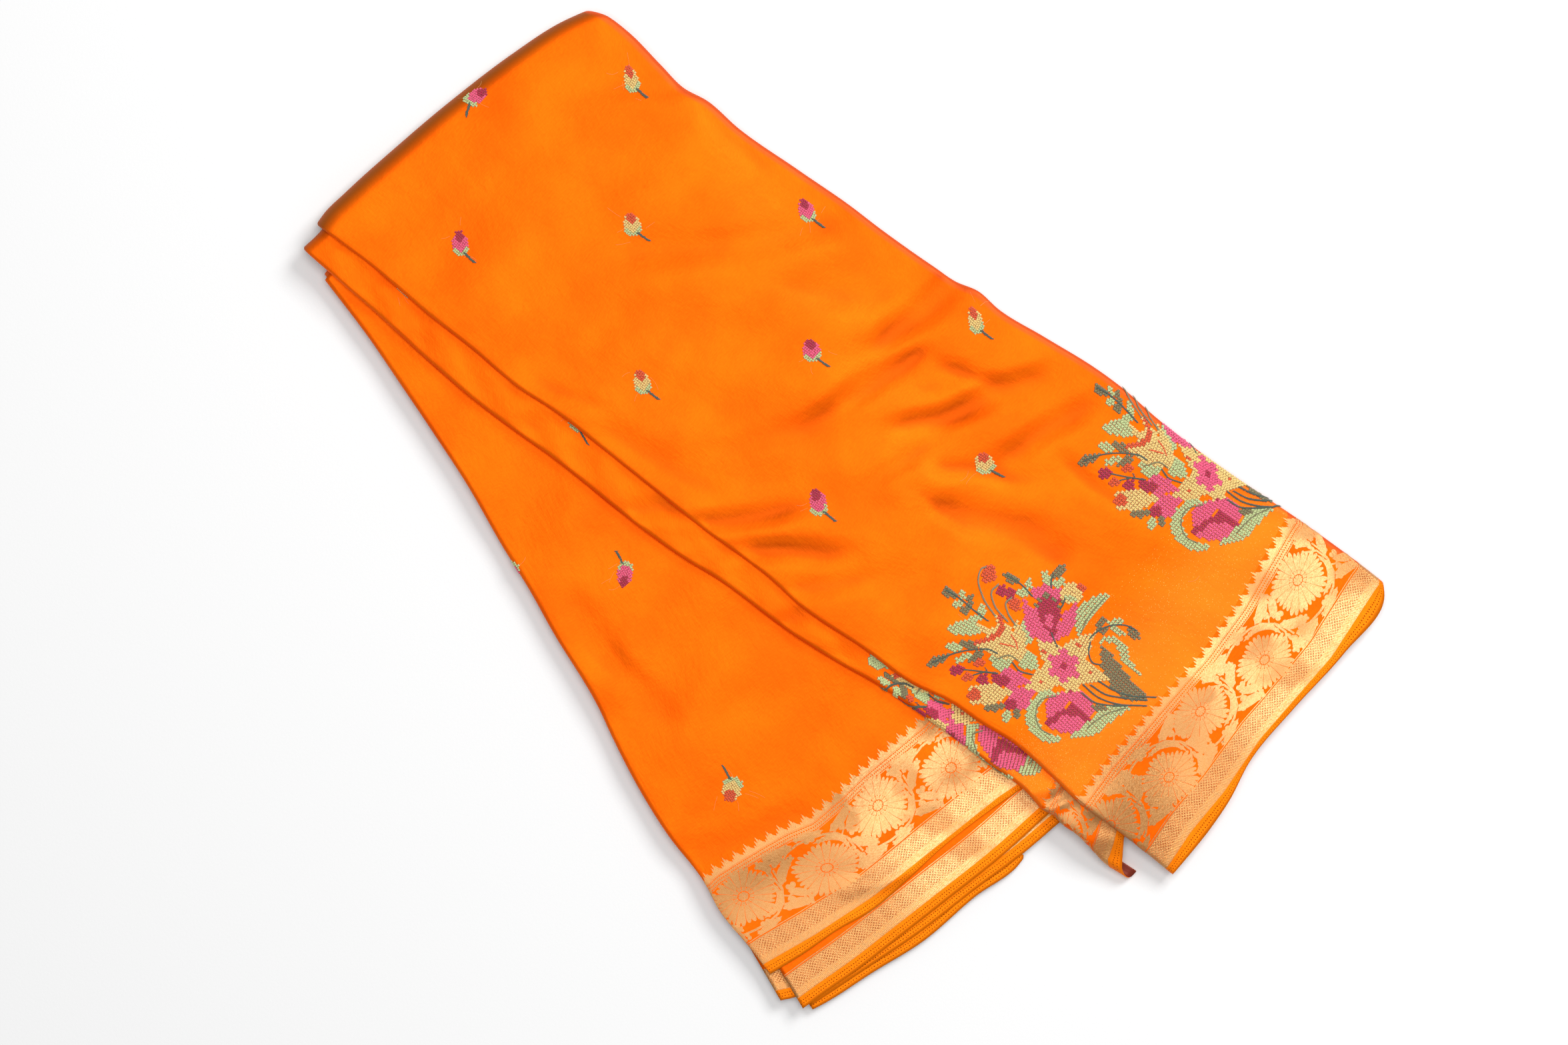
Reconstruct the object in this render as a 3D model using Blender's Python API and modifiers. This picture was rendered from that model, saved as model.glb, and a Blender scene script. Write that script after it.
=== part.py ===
"""A folded sari that lies flat, in metres, +Z up, standing on z = 0.

The sari is folded in half across its width and pleated along its length. +Y runs from the border
end to the mid fold, +X across the pleats. The lower half is fanned out to the left (-X) from under
the upper half. Each stretch of cloth that shows is a bent wall of its own. All the hidden pleats
are one rounded solid with a flat underside, layered at its edges. Every size below is in
millimetres and is turned into metres when a mesh is made.
"""
import math

import bmesh
import bpy
import numpy as np

MM = 0.001

# The cloth: a wall of 1.2 mm stands for the sheet and the air in its pleat.
WALL = 1.2
SEAT = 0.3
REST = 0.5

# Heights of the upper side of each stretch, where the whole stack lies below it.
TOP_LEVEL = 21.7
SECOND_LEVEL = 16.8
LOWER_LEVEL = 11.1
STEP = WALL + SEAT
CORE_BORDER_LEVEL = 3.6

# The lower half ends at this hidden corner. Past it the upper half sags towards the surface.
HIDDEN_CORNER = (-5.0, -225.0)
HIDDEN_SIDE_LEAN = 0.3727
LOWER_EDGE_LEAN = -0.36
SAG = 9.6
SAG_REACH = 62.0

# How far a wall runs on under the stretch that lies over it.
TUCK = 10.0

# The mid fold is a half roll round the hidden pleats.
TOP_ROLL = 10.85
SECOND_ROLL = 6.3
ROLL_TURN = 150.0

# Edges of the stretches, as x and y, each from the border end to the mid fold, or left to right.
TOP_LEFT = ((-6.0, -282.2), (-5.0, -240.3), (-5.7, -222.0), (-3.4, -200.0), (-1.7, -174.0),
            (-3.8, -151.6), (-4.6, -133.8), (-9.1, -112.2), (-9.9, -82.8), (-12.2, -39.3),
            (-10.5, -21.3), (-10.9, 25.4), (-9.7, 77.0), (-9.3, 127.4), (-10.6, 143.5),
            (-9.2, 178.1), (-8.8, 205.2), (-6.3, 247.6), (-6.5, 283.2))
TOP_RIGHT = ((183.5, -276.9), (183.8, -264.0), (183.0, -222.4), (180.2, -174.3), (180.2, -130.4),
             (181.8, -105.9), (181.5, -87.6), (178.4, -57.4), (175.4, -29.3), (176.4, -15.0),
             (173.4, -2.3), (172.6, 10.8), (171.4, 45.9), (171.4, 66.1), (169.9, 98.8),
             (168.1, 137.5), (169.5, 158.8), (167.4, 172.6), (169.6, 189.3), (173.0, 213.8),
             (172.8, 227.3), (170.4, 237.4))
TOP_BORDER = ((-6.0, -282.2), (26.9, -283.2), (42.5, -282.3), (66.7, -278.3), (103.2, -280.0),
              (141.0, -283.4), (178.1, -281.9), (183.5, -276.9))
TOP_FOLD = ((-6.5, 283.2), (1.2, 283.4), (15.7, 281.2), (51.1, 274.5), (85.4, 267.0),
            (126.0, 255.9), (154.8, 245.7), (170.4, 237.4))

SECOND_LEFT = ((-22.0, -260.8), (-23.0, -253.0), (-20.8, -237.1), (-19.7, -226.7),
               (-20.0, -215.5), (-19.0, -205.6), (-20.0, -200.0), (-17.7, -186.0),
               (-18.0, -169.3), (-18.5, -131.1), (-20.3, -102.1), (-24.6, -69.9),
               (-26.8, -42.1), (-27.2, -0.6), (-29.8, 26.0), (-30.4, 64.3), (-29.2, 102.6),
               (-30.3, 152.0), (-28.6, 188.6), (-24.8, 228.6), (-22.5, 260.8), (-21.1, 281.4))
SECOND_BORDER = ((-22.0, -260.8), (-12.6, -254.2), (-5.0, -249.4), (5.2, -247.0))
SECOND_FOLD = ((-21.1, 281.4), (-11.0, 279.6), (3.4, 279.2))

LOWER_LEFT = ((-176.0, -145.4), (-171.2, -127.4), (-165.6, -103.8), (-158.9, -88.7),
              (-150.4, -57.8), (-126.0, -1.4), (-120.0, 9.8), (-101.5, 56.0), (-91.7, 78.4),
              (-82.7, 102.1), (-68.0, 136.8), (-56.9, 167.9), (-45.7, 200.9), (-37.5, 225.6),
              (-27.4, 262.0))
LOWER_BORDER = ((-176.0, -145.4), (-156.9, -152.8), (-136.8, -159.3), (-116.9, -167.7),
                (-90.9, -173.2), (-67.6, -177.3), (-38.1, -185.1), (-17.9, -191.7),
                (-8.0, -194.6))
LOWER_FOLD = ((-27.4, 262.0), (-13.0, 262.0))

# The lower layers, from the top one down: left corner of the left edge, then the cut edge.
LAYERS_LEFT = {
    "lower_stretch_2": (-167.5, -140.0),
    "lower_stretch_3": (-167.0, -118.0),
    "lower_stretch_4": (-167.0, -146.0),
    "lower_stretch_5": (-168.5, -148.0),
}
LAYERS_BORDER = {
    "lower_stretch_2": ((-179.9, -170.2), (-165.6, -174.5), (-150.1, -179.5), (-114.1, -189.2),
                        (-91.0, -195.2), (-49.4, -205.6), (-21.0, -210.9), (-8.4, -213.4)),
    "lower_stretch_3": ((-183.8, -158.4), (-177.5, -163.6), (-150.0, -172.5), (-114.0, -183.0),
                        (-91.0, -189.0), (-49.4, -199.0), (-21.0, -205.0), (-8.4, -207.5)),
    "lower_stretch_4": ((-176.2, -172.9), (-140.4, -185.2), (-109.2, -195.6), (-76.5, -204.3),
                        (-44.3, -213.4), (-20.1, -218.6), (-8.4, -221.0)),
    "lower_stretch_5": ((-177.6, -174.9), (-172.8, -177.2), (-142.7, -188.4), (-114.0, -199.4),
                        (-78.6, -207.0), (-49.2, -215.2), (-46.3, -215.0), (-44.6, -210.2),
                        (-8.4, -214.6)),
}
# The line where the lower layers end, hidden under lower_stretch_1.
LAYERS_END = ((-168.0, -118.0), (-158.5, -128.5), (-148.0, -139.0), (-136.8, -147.3),
              (-116.9, -155.7), (-90.9, -161.2), (-67.6, -165.3), (-38.1, -173.1),
              (-17.9, -179.7), (-8.0, -182.6))

# Large soft troughs of the top stretch: from, to, depth and half width.
TOP_TROUGHS = (
    ((87.3, 136.7), (151.9, 71.5), 1.1, 9.0),
    ((171.8, -0.9), (131.7, 7.3), 1.6, 7.0),
    ((121.2, -7.2), (77.4, 8.2), 1.4, 7.0),
    ((154.8, -65.2), (102.2, -33.4), 1.5, 8.0),
    ((152.7, -93.7), (123.0, -82.9), 1.5, 7.0),
    ((79.3, -82.2), (91.3, -126.8), 1.2, 8.0),
)
TROUGH_FADE = 14.0

# Large soft troughs of lower_stretch_1.
LOWER_TROUGHS = (
    ((-85.3, 48.0), (-100.8, -9.1), 1.1, 9.0),
    ((-143.0, -80.0), (-103.8, -100.0), 0.9, 7.0),
)

# The hidden pleats: how far they lie inside the stretches, and the relief of their edges.
CORE_INSET = 2.6
CORE_GAP = 3.0
CORE_END_INSET = 3.0
CORE_NEAR = 8.0
SIDE_LAYERS = 4
LAYER_CREST = 0.5
LAYER_GROOVE = 0.7
ROLL_SLACK = 0.9

# The cut edge of the hidden pleats' low end, under the lower layers.
CORE_LOW_EDGE = ((-172.5, -171.0), (-140.4, -183.0), (-109.2, -194.0), (-76.5, -202.5),
                 (-44.3, -207.5), (-7.5, -211.0))
CORE_RAMP_LIMIT = -6.5
CORE_LOWER_FOLD = ((-24.5, 264.0), (-11.5, 264.0))
CORE_SECOND_BORDER = ((-8.0, -247.0), (6.0, -242.0))
CORE_SECOND_FOLD = ((-9.5, 271.5), (4.5, 271.5))
CORE_TOP_REACH = (7.0, 180.6)
CORE_FOLD_REACH = (6.5, 167.6)

# Folded edges: the radius of each, and how far its cloth runs back under it.
TOP_FOLD_RADIUS = 2.3
TOP_FOLD_RUN_BACK = 6.0
SECOND_FOLD_RADIUS = 2.7
SECOND_FOLD_RUN_BACK = 9.0
LIP_RADIUS = 3.0
LIP_TURN = 78.0
LOWER_LIP_RADIUS = 2.6
LOWER_LIP_TURN = 65.0
LOWER_LIP_FLAT = 0.35
LOOP_FLARE = 0.9
FOLD_TIGHTER = 0.8

# The second stretch's loop at its border end: how sharply it flares, and its longer under side.
LOOP_SHARPNESS = 30
LOOP_SLANT = 0.9
LOOP_RUN = 4.0

# Mesh counts.
TOP_COLUMNS = 16
TOP_ROWS = 34
SECOND_COLUMNS = 4
SECOND_ROWS = 34
LOWER_COLUMNS = 14
LOWER_ROWS = 22
LAYER_COLUMNS = 12
LAYER_ROWS = 3
CORE_ROWS = 22
CORE_LOWER_COLUMNS = 9
CORE_SECOND_COLUMNS = 1
CORE_TOP_COLUMNS = 12
ROLL_STEPS = 7
FOLD_STEPS = 4

ORANGE = (0.95, 0.20, 0.01)
SHADE_ORANGE = (0.80, 0.14, 0.01)
SATIN = 0.45


def smooth_step(value):
    """Return 0 below 0, 1 above 1 and a smooth rise between."""
    value = min(max(value, 0.0), 1.0)
    return value * value * (3.0 - 2.0 * value)


def along(points, share):
    """Return the point at a share of a polyline's length."""
    pts = np.array(points, float)
    runs = np.hypot(*np.diff(pts, axis=0).T)
    marks = np.concatenate(([0.0], np.cumsum(runs))) / runs.sum()
    return np.array([np.interp(share, marks, pts[:, 0]), np.interp(share, marks, pts[:, 1])])


def shifted(points, dx):
    """Return a polyline moved across the pleats."""
    return tuple((x + dx, y) for x, y in points)


class Patch:
    """The plan of one stretch: a smooth net between its four edges."""

    def __init__(self, left, right, border, fold):
        self.left, self.right, self.border, self.fold = left, right, border, fold

    def width(self, v):
        """Return the stretch's width at a share of its length."""
        return float(np.hypot(*(along(self.right, v) - along(self.left, v))))

    def length(self, u):
        """Return the stretch's length at a share of its width."""
        return float(np.hypot(*(along(self.fold, u) - along(self.border, u))))

    def at(self, u, v):
        """Return the plan point at a share of the width and of the length."""
        ends = (1 - v) * along(self.border, u) + v * along(self.fold, u)
        sides = (1 - u) * along(self.left, v) + u * along(self.right, v)
        corners = ((1 - v) * ((1 - u) * np.array(self.border[0]) + u * np.array(self.border[-1]))
                   + v * ((1 - u) * np.array(self.fold[0]) + u * np.array(self.fold[-1])))
        return ends + sides - corners


def sag(x, y):
    """Return how far the upper half hangs down past the lower half's hidden edges."""
    corner_x, corner_y = HIDDEN_CORNER
    past_side = (x - corner_x) - HIDDEN_SIDE_LEAN * (y - corner_y)
    past_end = corner_y + LOWER_EDGE_LEAN * (x - corner_x) - y
    past = math.hypot(max(past_side, 0.0), max(past_end, 0.0))
    return SAG * smooth_step(past / SAG_REACH)


def trough_depth(troughs, x, y):
    """Return the depth of a stretch's soft creases at a plan point."""
    depth = 0.0
    for start, end, deep, half_width in troughs:
        run = np.subtract(end, start)
        size = float(np.hypot(*run))
        offset = np.array([x, y]) - start
        reach = float(offset @ run) / size
        aside = float(offset[0] * run[1] - offset[1] * run[0]) / size
        beyond = max(-reach, reach - size, 0.0)
        depth += deep * math.exp(-(aside / half_width) ** 2 - (beyond / TROUGH_FADE) ** 2)
    return depth


def top_height(x, y):
    """Return the height of the top stretch's upper side."""
    return TOP_LEVEL - sag(x, y) - trough_depth(TOP_TROUGHS, x, y)


def second_height(x, y):
    """Return the height of the second stretch's upper side."""
    return SECOND_LEVEL - sag(x, y)


def lower_height(x, y):
    """Return the height of lower_stretch_1's upper side."""
    return LOWER_LEVEL - trough_depth(LOWER_TROUGHS, x, y)


def level(height):
    """Return a height function that is the same all over."""
    return lambda x, y: height


def fold_stations(radius, turn, run_back):
    """Return a folded edge as insets and drops, from its hidden end to the top of the fold."""
    stations = []
    if run_back:
        stations.append((run_back, radius * (1 - math.cos(turn))))
    for step in range(FOLD_STEPS, 0, -1):
        angle = turn * step / FOLD_STEPS
        stations.append((radius * (1 - math.sin(angle)), radius * (1 - math.cos(angle))))
    stations.append((radius, 0.0))
    return stations


def row_marks(rows, roll):
    """Return rows as a share of the flat length, an inset from the roll's end and a turn."""
    marks = [(i / rows, roll, 0.0) for i in range(rows + 1)]
    if roll:
        for step in range(1, ROLL_STEPS + 1):
            angle = math.radians(ROLL_TURN) * step / ROLL_STEPS
            marks.append((1.0, roll * (1 - math.sin(angle)), angle))
    return marks


def net(rows):
    """Return a bmesh grid whose vertices lie at rows of points, and a table of its vertices."""
    count_y, count_x = len(rows), len(rows[0])
    mesh = bmesh.new()
    bmesh.ops.create_grid(mesh, x_segments=count_x - 1, y_segments=count_y - 1, size=1.0)
    table = sorted(mesh.verts, key=lambda v: (round(v.co.y, 5), round(v.co.x, 5)))
    for index, vert in enumerate(table):
        vert.co = [value * MM for value in rows[index // count_x][index % count_x]]
    return mesh, table


def finish_mesh(name, mesh, colour, roughness):
    """Make an object from a bmesh, with its own cloth material."""
    data = bpy.data.meshes.new(name)
    mesh.to_mesh(data)
    mesh.free()
    data.shade_smooth()
    thing = bpy.data.objects.new(name, data)
    PARTS.objects.link(thing)
    cloth = bpy.data.materials.new(name)
    cloth.use_nodes = True
    shader = cloth.node_tree.nodes["Principled BSDF"]
    shader.inputs["Base Color"].default_value = (*colour, 1.0)
    shader.inputs["Roughness"].default_value = roughness
    data.materials.append(cloth)
    return thing


def add_wall(thing):
    """Give an open sheet its thickness, inwards."""
    wall = thing.modifiers.new("wall", "SOLIDIFY")
    wall.thickness = WALL * MM
    wall.offset = -1.0
    wall.use_even_offset = True
    wall.use_quality_normals = True


def stretch(name, patch, columns, rows, height, left_fold, right_fold, roll=0.0, end_shift=None):
    """Build one stretch of cloth with folded edges and, where it has one, the mid fold's roll.

    left_fold and right_fold take a share of the length and return the edge's stations.
    end_shift takes a drop and returns how much further the border end runs there.
    """
    points = []
    for share, end_inset, turn in row_marks(rows, roll):
        flat_v = share * (1 - roll / patch.length(0.5))
        width = patch.width(flat_v)
        left = left_fold(flat_v)
        right = right_fold(flat_v)[::-1]
        start, end = left[-1][0] / width, 1 - right[0][0] / width
        stations = [(inset / width, drop) for inset, drop in left]
        stations += [(start + (end - start) * i / columns, 0.0) for i in range(1, columns)]
        stations += [(1 - inset / width, drop) for inset, drop in right]
        line = []
        for u, drop in stations:
            base_v = share * (1 - roll / patch.length(u))
            base_x, base_y = patch.at(u, base_v)
            x, y = patch.at(u, base_v + (roll - end_inset) / patch.length(u))
            z = height(base_x, base_y) - roll * (1 - math.cos(turn)) - drop * math.cos(turn)
            y -= drop * math.sin(turn)
            if end_shift:
                y -= end_shift(drop, u * width) * (1 - base_v) ** LOOP_SHARPNESS
            line.append((x, y, z))
        points.append(line)
    mesh, _ = net(points)
    thing = finish_mesh(name, mesh, ORANGE, SATIN)
    add_wall(thing)
    return thing


def plain_edge(v):
    """Return the stations of an edge that isn't folded."""
    return [(0.0, 0.0)]


def top_right_fold(v):
    """Return the top stretch's right edge: a lip that bends down over the hidden pleats."""
    return fold_stations(LIP_RADIUS, math.radians(LIP_TURN), 0.0)


def top_left_fold(v):
    """Return the top stretch's left edge: folded right under, tighter at the mid fold."""
    radius = TOP_FOLD_RADIUS - FOLD_TIGHTER * smooth_step((v - 0.88) / 0.08)
    return fold_stations(radius, math.pi, TOP_FOLD_RUN_BACK)


def second_left_fold(v):
    """Return the second stretch's left edge: an open loop at the border, tight at the mid fold."""
    radius = (SECOND_FOLD_RADIUS + LOOP_FLARE * smooth_step((0.06 - v) / 0.06)
              - FOLD_TIGHTER * smooth_step((v - 0.85) / 0.1))
    return fold_stations(radius, math.pi, SECOND_FOLD_RUN_BACK)


def lower_left_fold(v):
    """Return the lower stretch's left edge: a lip, shallow where its layers fan out."""
    flat = LOWER_LIP_FLAT + (1 - LOWER_LIP_FLAT) * smooth_step((v - 0.12) / 0.1)
    stations = fold_stations(LOWER_LIP_RADIUS, math.radians(LOWER_LIP_TURN), 0.0)
    return [(inset, drop * flat) for inset, drop in stations]


def loop_end(drop, inset):
    """Return how much further the second stretch's under side runs at its border end."""
    full_drop = 2 * (SECOND_FOLD_RADIUS + LOOP_FLARE)
    under = smooth_step(drop / full_drop) * smooth_step(inset / SECOND_FOLD_RUN_BACK)
    return LOOP_SLANT * drop + LOOP_RUN * under


def build_stretches():
    """Build every stretch of cloth that shows."""
    top = Patch(TOP_LEFT, TOP_RIGHT, TOP_BORDER, TOP_FOLD)
    stretch("top_stretch", top, TOP_COLUMNS, TOP_ROWS, top_height, top_left_fold,
            top_right_fold, roll=TOP_ROLL)

    second = Patch(SECOND_LEFT, second_right(), SECOND_BORDER, SECOND_FOLD)
    stretch("second_stretch", second, SECOND_COLUMNS, SECOND_ROWS, second_height,
            second_left_fold, plain_edge, roll=SECOND_ROLL, end_shift=loop_end)

    lower = Patch(LOWER_LEFT, lower_right(), LOWER_BORDER, LOWER_FOLD)
    stretch("lower_stretch_1", lower, LOWER_COLUMNS, LOWER_ROWS, lower_height,
            lower_left_fold, plain_edge)

    for depth, (name, border) in enumerate(LAYERS_BORDER.items(), start=1):
        corner = LAYERS_LEFT[name]
        inner = (corner, *(p for p in LAYERS_END if p[0] > corner[0] + 4 and p[1] < corner[1] + 1))
        patch = Patch((border[0], inner[0]), (border[-1], inner[-1]), border, inner)
        stretch(name, patch, LAYER_COLUMNS, LAYER_ROWS, level(LOWER_LEVEL - depth * STEP),
                plain_edge, plain_edge)


def second_right():
    """Return the second stretch's hidden edge, tucked under the top stretch."""
    inner = [p for p in shifted(TOP_LEFT, TUCK) if -240.0 < p[1] < 270.0]
    return (SECOND_BORDER[-1], *inner, SECOND_FOLD[-1])


def lower_right():
    """Return the lower stretch's hidden edge, tucked under the second stretch."""
    inner = [p for p in shifted(SECOND_LEFT, TUCK) if -185.0 < p[1] < 255.0]
    return (LOWER_BORDER[-1], *inner, LOWER_FOLD[-1])


def inner_line(points, inset):
    """Return an edge's points, without its last ones by the mid fold, moved across the pleats."""
    last = min(points[-1][1] - 12.0, 258.0)
    return tuple((x + inset, y) for x, y in points if y < last)


def edge_between(points, first, last, dy):
    """Return the stretch of an edge between two x values, moved along the pleats."""
    xs, ys = zip(*points)
    places = [first, *(x for x in xs if first + 3 < x < last - 3), last]
    return tuple((x, float(np.interp(x, xs, ys)) + dy) for x in places)


def lowest_near(height, x, y):
    """Return the lowest height of a stretch close to a plan point."""
    return min(height(x + dx, y + dy) for dx in (-CORE_NEAR, 0.0, CORE_NEAR)
               for dy in (-CORE_NEAR, 0.0, CORE_NEAR))


def core_sections():
    """Return the hidden pleats' three side-by-side sections, as rows of points."""
    ramp_start = tuple((min(x + 2.7, CORE_RAMP_LIMIT), y + 4.5) for x, y in LAYERS_END)
    ramp_end = tuple((min(x + 5.0, CORE_RAMP_LIMIT), y + 9.5) for x, y in LAYERS_END)
    lower = Patch((ramp_end[0], *inner_line(LOWER_LEFT[3:], CORE_INSET), CORE_LOWER_FOLD[0]),
                  (ramp_end[-1], *inner_line(SECOND_LEFT[8:], TUCK + 1.0), CORE_LOWER_FOLD[1]),
                  ramp_end, CORE_LOWER_FOLD)
    second = Patch((CORE_SECOND_BORDER[0], *inner_line(SECOND_LEFT[3:], TUCK + CORE_GAP),
                    CORE_SECOND_FOLD[0]),
                   (CORE_SECOND_BORDER[1], *inner_line(TOP_LEFT[2:], TUCK + 1.0),
                    CORE_SECOND_FOLD[1]),
                   CORE_SECOND_BORDER, CORE_SECOND_FOLD)
    top_border = edge_between(TOP_BORDER, *CORE_TOP_REACH, CORE_END_INSET)
    top_fold = edge_between(TOP_FOLD, *CORE_FOLD_REACH, -TOP_ROLL)
    top = Patch((top_border[0], *inner_line(TOP_LEFT[1:], TUCK + CORE_GAP), top_fold[0]),
                (top_border[-1], *inner_line(TOP_RIGHT[1:], -CORE_INSET), top_fold[-1]),
                top_border, top_fold)

    rows = []
    for row in range(CORE_ROWS + 3):
        line = []
        for u in np.linspace(0.0, 1.0, CORE_LOWER_COLUMNS + 1):
            if row < 2:
                x, y = along((CORE_LOW_EDGE, ramp_start)[row], u)
                line.append((x, y, CORE_BORDER_LEVEL))
            else:
                x, y = lower.at(u, (row - 2) / CORE_ROWS)
                line.append((x, y, lowest_near(lower_height, x, y) - WALL - REST))
        v = row / (CORE_ROWS + 2)
        for patch, height, columns in ((second, second_height, CORE_SECOND_COLUMNS),
                                       (top, top_height, CORE_TOP_COLUMNS)):
            for u in np.linspace(0.0, 1.0, columns + 1):
                x, y = patch.at(u, v)
                line.append((x, y, lowest_near(height, x, y) - WALL - REST))
        rows.append(line)
    return rows


def core_outset(height, facing, is_roll, is_crest):
    """Return how far a side of the hidden pleats stands out at a height."""
    relief = LAYER_CREST if is_crest else -LAYER_GROOVE
    if not is_roll:
        return relief
    inner = TOP_ROLL - WALL - REST
    bulge = math.sqrt(max(inner ** 2 - (height - TOP_ROLL) ** 2, 0.0))
    return bulge * facing + relief - ROLL_SLACK


def build_hidden_layers():
    """Build the hidden pleats: a soft top, sides in rounded layers and a flat underside."""
    rows = core_sections()
    mesh, table = net(rows)
    count_y, count_x = len(rows), len(rows[0])
    first_top = count_x - CORE_TOP_COLUMNS
    last_row = (count_y - 1) * count_x
    around = [table[i] for i in range(count_x)]
    around += [table[row * count_x + count_x - 1] for row in range(1, count_y)]
    around += [table[last_row + i] for i in range(count_x - 2, -1, -1)]
    around += [table[row * count_x] for row in range(count_y - 2, 0, -1)]
    rolled = {table[last_row + i] for i in range(first_top, count_x - 1)}

    outline = [vert.co.copy() for vert in around]
    is_roll = [vert in rolled for vert in around]
    normals = []
    for index, place in enumerate(outline):
        run = outline[(index + 1) % len(outline)] - outline[index - 1]
        size = math.hypot(run.x, run.y)
        normals.append((run.y / size, -run.x / size))

    ring = around
    for layer in range(1, 2 * SIDE_LAYERS + 1):
        share = 1 - layer / (2 * SIDE_LAYERS)
        edges = [e for i, vert in enumerate(ring) for e in vert.link_edges
                 if e.other_vert(vert) is ring[(i + 1) % len(ring)]]
        made = bmesh.ops.extrude_edge_only(mesh, edges=edges)["geom"]
        fresh = {item for item in made if isinstance(item, bmesh.types.BMVert)}
        ring = [next(e.other_vert(vert) for e in vert.link_edges if e.other_vert(vert) in fresh)
                for vert in ring]
        for vert, place, normal, roll in zip(ring, outline, normals, is_roll):
            height = place.z * share
            out = core_outset(height / MM, normal[1], roll, layer % 2 == 1)
            vert.co = (place.x + normal[0] * out * MM, place.y + normal[1] * out * MM, height)

    edges = [e for i, vert in enumerate(ring) for e in vert.link_edges
             if e.other_vert(vert) is ring[(i + 1) % len(ring)]]
    bmesh.ops.contextual_create(mesh, geom=edges)
    bmesh.ops.recalc_face_normals(mesh, faces=mesh.faces)
    finish_mesh("hidden_layers", mesh, SHADE_ORANGE, SATIN)


for old in list(bpy.data.objects):
    bpy.data.objects.remove(old)
PARTS = bpy.data.collections.new("folded_sari")
bpy.context.scene.collection.children.link(PARTS)

build_stretches()
build_hidden_layers()
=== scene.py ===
"""The looks of a folded sari: satin cloth, a woven gold border and cross-stitched flowers.

The sari lies flat with +Z up. Each stretch of cloth is a surface that is asked for by its flat
place: p millimetres across the pleat and q millimetres in from the cut edge. All that is woven
into it or sewn on it is laid out in those flat millimetres, so it follows every fold.
"""
from __future__ import annotations

import logging
import math
from collections.abc import Callable, Sequence
from dataclasses import dataclass, field, replace
from enum import Enum

import bmesh
import bpy
import numpy as np
from mathutils import Matrix

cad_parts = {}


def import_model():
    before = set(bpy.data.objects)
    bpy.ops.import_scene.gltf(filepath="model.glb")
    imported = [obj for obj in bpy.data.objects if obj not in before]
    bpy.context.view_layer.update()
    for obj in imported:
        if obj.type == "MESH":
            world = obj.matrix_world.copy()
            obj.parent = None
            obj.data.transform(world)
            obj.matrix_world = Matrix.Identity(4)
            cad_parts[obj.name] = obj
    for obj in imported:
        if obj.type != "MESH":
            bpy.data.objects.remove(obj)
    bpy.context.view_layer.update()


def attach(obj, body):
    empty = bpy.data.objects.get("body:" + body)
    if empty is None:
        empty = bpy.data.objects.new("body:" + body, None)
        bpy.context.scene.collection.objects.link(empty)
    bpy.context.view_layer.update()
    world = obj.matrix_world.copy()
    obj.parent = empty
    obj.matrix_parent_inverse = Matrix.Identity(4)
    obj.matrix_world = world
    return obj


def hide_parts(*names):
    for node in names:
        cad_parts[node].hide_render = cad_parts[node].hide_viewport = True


LOG = logging.getLogger("folded_sari")
MM = 0.001
Array = np.ndarray
Pair = tuple[float, float]
Line = tuple[Pair, ...]
Height = Callable[[Array, Array], Array]
Colour = tuple[float, float, float, float]
Bud = tuple[bool, Pair, Pair]
Material = bpy.types.Material
Mesh = bpy.types.Mesh
Socket = bpy.types.NodeSocket

# Heights of the stretches, and how the upper half hangs down past the lower half's hidden edges.
# All sizes are millimetres, but for the studio's and those that are said to be metres.
TOP_LEVEL = 21.7
SECOND_LEVEL = 16.8
LOWER_LEVEL = 11.1
LAYER_STEP = 1.5
HIDDEN_CORNER = (-5.0, -225.0)
HIDDEN_SIDE_LEAN = 0.3727
LOWER_EDGE_LEAN = -0.36
SAG = 9.6
SAG_REACH = 62.0

# The mid fold's half roll, and how far a stretch runs on under the one that lies over it.
TOP_ROLL = 10.85
SECOND_ROLL = 6.3
ROLL_TURN = 150.0
ROLL_ROWS = 20
TUCK = 10.0
CLOTH_THICKNESS = 0.45
CREASE_FADE = 14.0

# How the second stretch's border end slants and runs on round its open loop.
LOOP_SHARPNESS = 30
LOOP_SLANT = 0.9
LOOP_RUN = 4.0
LOOP_DROP = 7.2
LOOP_DEPTH = 9.0

# Edges of the stretches in plan, each from the border end to the mid fold, or left to right.
TOP_LEFT: Line = (
    (-6.0, -282.2), (-5.0, -240.3), (-5.7, -222.0), (-3.4, -200.0), (-1.7, -174.0),
    (-3.8, -151.6), (-4.6, -133.8), (-9.1, -112.2), (-9.9, -82.8), (-12.2, -39.3),
    (-10.5, -21.3), (-10.9, 25.4), (-9.7, 77.0), (-9.3, 127.4), (-10.6, 143.5),
    (-9.2, 178.1), (-8.8, 205.2), (-6.3, 247.6), (-6.5, 283.2))
TOP_RIGHT: Line = (
    (183.5, -276.9), (183.8, -264.0), (183.0, -222.4), (180.2, -174.3), (180.2, -130.4),
    (181.8, -105.9), (181.5, -87.6), (178.4, -57.4), (175.4, -29.3), (176.4, -15.0),
    (173.4, -2.3), (172.6, 10.8), (171.4, 45.9), (171.4, 66.1), (169.9, 98.8),
    (168.1, 137.5), (169.5, 158.8), (167.4, 172.6), (169.6, 189.3), (173.0, 213.8),
    (172.8, 227.3), (170.4, 237.4))
TOP_BORDER: Line = (
    (-6.0, -282.2), (26.9, -283.2), (42.5, -282.3), (66.7, -278.3), (103.2, -280.0),
    (141.0, -283.4), (178.1, -281.9), (183.5, -276.9))
TOP_FOLD: Line = (
    (-6.5, 283.2), (1.2, 283.4), (15.7, 281.2), (51.1, 274.5), (85.4, 267.0),
    (126.0, 255.9), (154.8, 245.7), (170.4, 237.4))
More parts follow.
